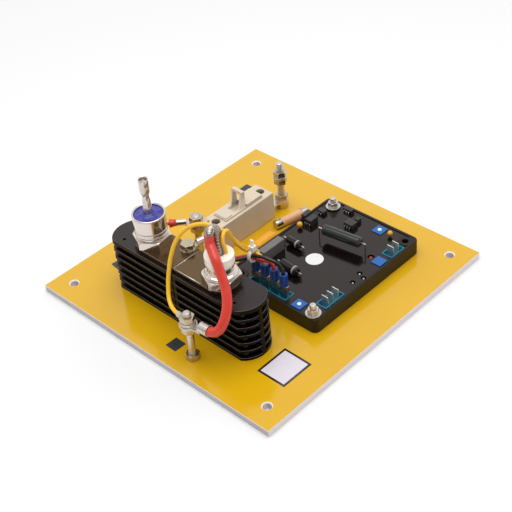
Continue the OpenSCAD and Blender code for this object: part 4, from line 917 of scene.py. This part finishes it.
lead("red_lead", red_pvc, 7.5, [
    (29, -74.5, 100.4), (30.3, -75.8, 94.6), (34.7, -78, 91), (40.9, -81, 87), (45.9, -82.8, 79.9),
    (51.5, -85, 73), (57, -89, 66), (60.5, -94, 59), (61.5, -99, 52.5), (59.5, -103, 46.6),
    (54.5, -105.3, 43.9), (46, -106, 43.8),
])
lead("yellow_loop", yellow_pvc, 3.2, [
    (28.5, -67.5, 100.5), (23.5, -68.3, 103.2), (17, -71, 102.6), (11, -74.4, 100.2), (6, -78, 96),
    (2, -82.5, 88.5), (-0.2, -87.5, 77.5), (-0.4, -92, 65), (2, -97, 53.5), (8, -102.4, 45.6),
    (15.6, -105.3, 43), (22.6, -106.1, 43),
])
lead("gate_wire", yellow_pvc, 2.8, [
    (36.8, -66.9, 83.6), (36.9, -68, 89), (36.2, -68.4, 94), (34.6, -66, 98.6), (32.8, -61.4, 98.4),
    (30.4, -56.4, 91.6), (25.7, -48.6, 77.4), (21.4, -39.6, 65), (18, -31.6, 54.8), (17.6, -27.2, 50.6),
    (20.5, -24.5, 49.2), (24.4, -22.8, 47), (26.7, -21.7, 43.6), (27, -21.5, 40.4), (27, -21.5, 34),
])
lead("sense_wire", yellow_pvc, 2.8, [
    (30.5, -67.5, 95), (28.6, -63.6, 97.2), (26.4, -59, 94.2), (23.6, -52, 85.2), (20.4, -43.6, 73.4),
    (17, -34.4, 61), (14.4, -27.6, 53), (14.6, -23.8, 48.4), (16.4, -21.9, 44), (17, -21.5, 40.4),
    (17, -21.5, 34),
])
lead("red_wire", red_pvc, 2.8, [
    (-58.7, -27.8, 43), (-64.1, -33.6, 43), (-68.4, -38.2, 42), (-71.5, -42, 38.5), (-72, -44.5, 31),
    (-67, -46, 24), (-56, -46, 20.8), (-40, -46, 21.4), (-20, -46, 28), (-6, -43.5, 35.6),
    (2, -38.5, 40.4), (8.5, -34, 43.5), (12.9, -31, 45), (17, -28, 45.6), (20.5, -26.3, 45.2),
    (25.5, -26, 45), (30.5, -25, 46), (34.4, -23, 46), (36.6, -21.9, 43.4), (37, -21.5, 40.4),
    (37, -21.5, 34),
])
lead("black_wire", black_pvc, 2.8, [
    (-10.8, -52.2, 61.6), (-9.3, -44.9, 61.6), (-6.4, -42.4, 59.4), (0, -41, 53.4), (6, -39.5, 47.6),
    (11.5, -37, 45), (15.5, -33.4, 45.6), (20.5, -28.6, 47.6), (25.5, -28.2, 50), (31, -27.2, 51.4),
    (37.5, -25.4, 50.8), (43, -23.2, 48.4), (46.3, -21.9, 44.6), (47, -21.5, 40.6), (47, -21.5, 34),
])

# Lug collar: the flared red end of the insulation where it meets the crimp of the red wire's
# lug.
COLLAR_PLACE, COLLAR_TURN = (-61.4, -30.7, 43), 227
collar_profile = [
    (1.45, 5.6), (1.5, 1.2), (2.0, 0.2), (2.6, 0), (3.0, 2.4), (3.7, 5.4), (3.5, 5.8), (1.45, 5.6),
]
collar_mesh = placed(turned(collar_profile), COLLAR_PLACE, COLLAR_TURN, lying=True)
piece("lug_collar", collar_mesh, [red_pvc])

# Cable tie: a white nylon strap pulled round three of the thin wires, its tail cut off short
# above the head.
# Nylon: milky white, satin
nylon = moulded("white nylon", "F6F3EA", "EAE5D8", 0.36, 1.2, 0.04)
edged("cable_tie", nylon, 0.2)
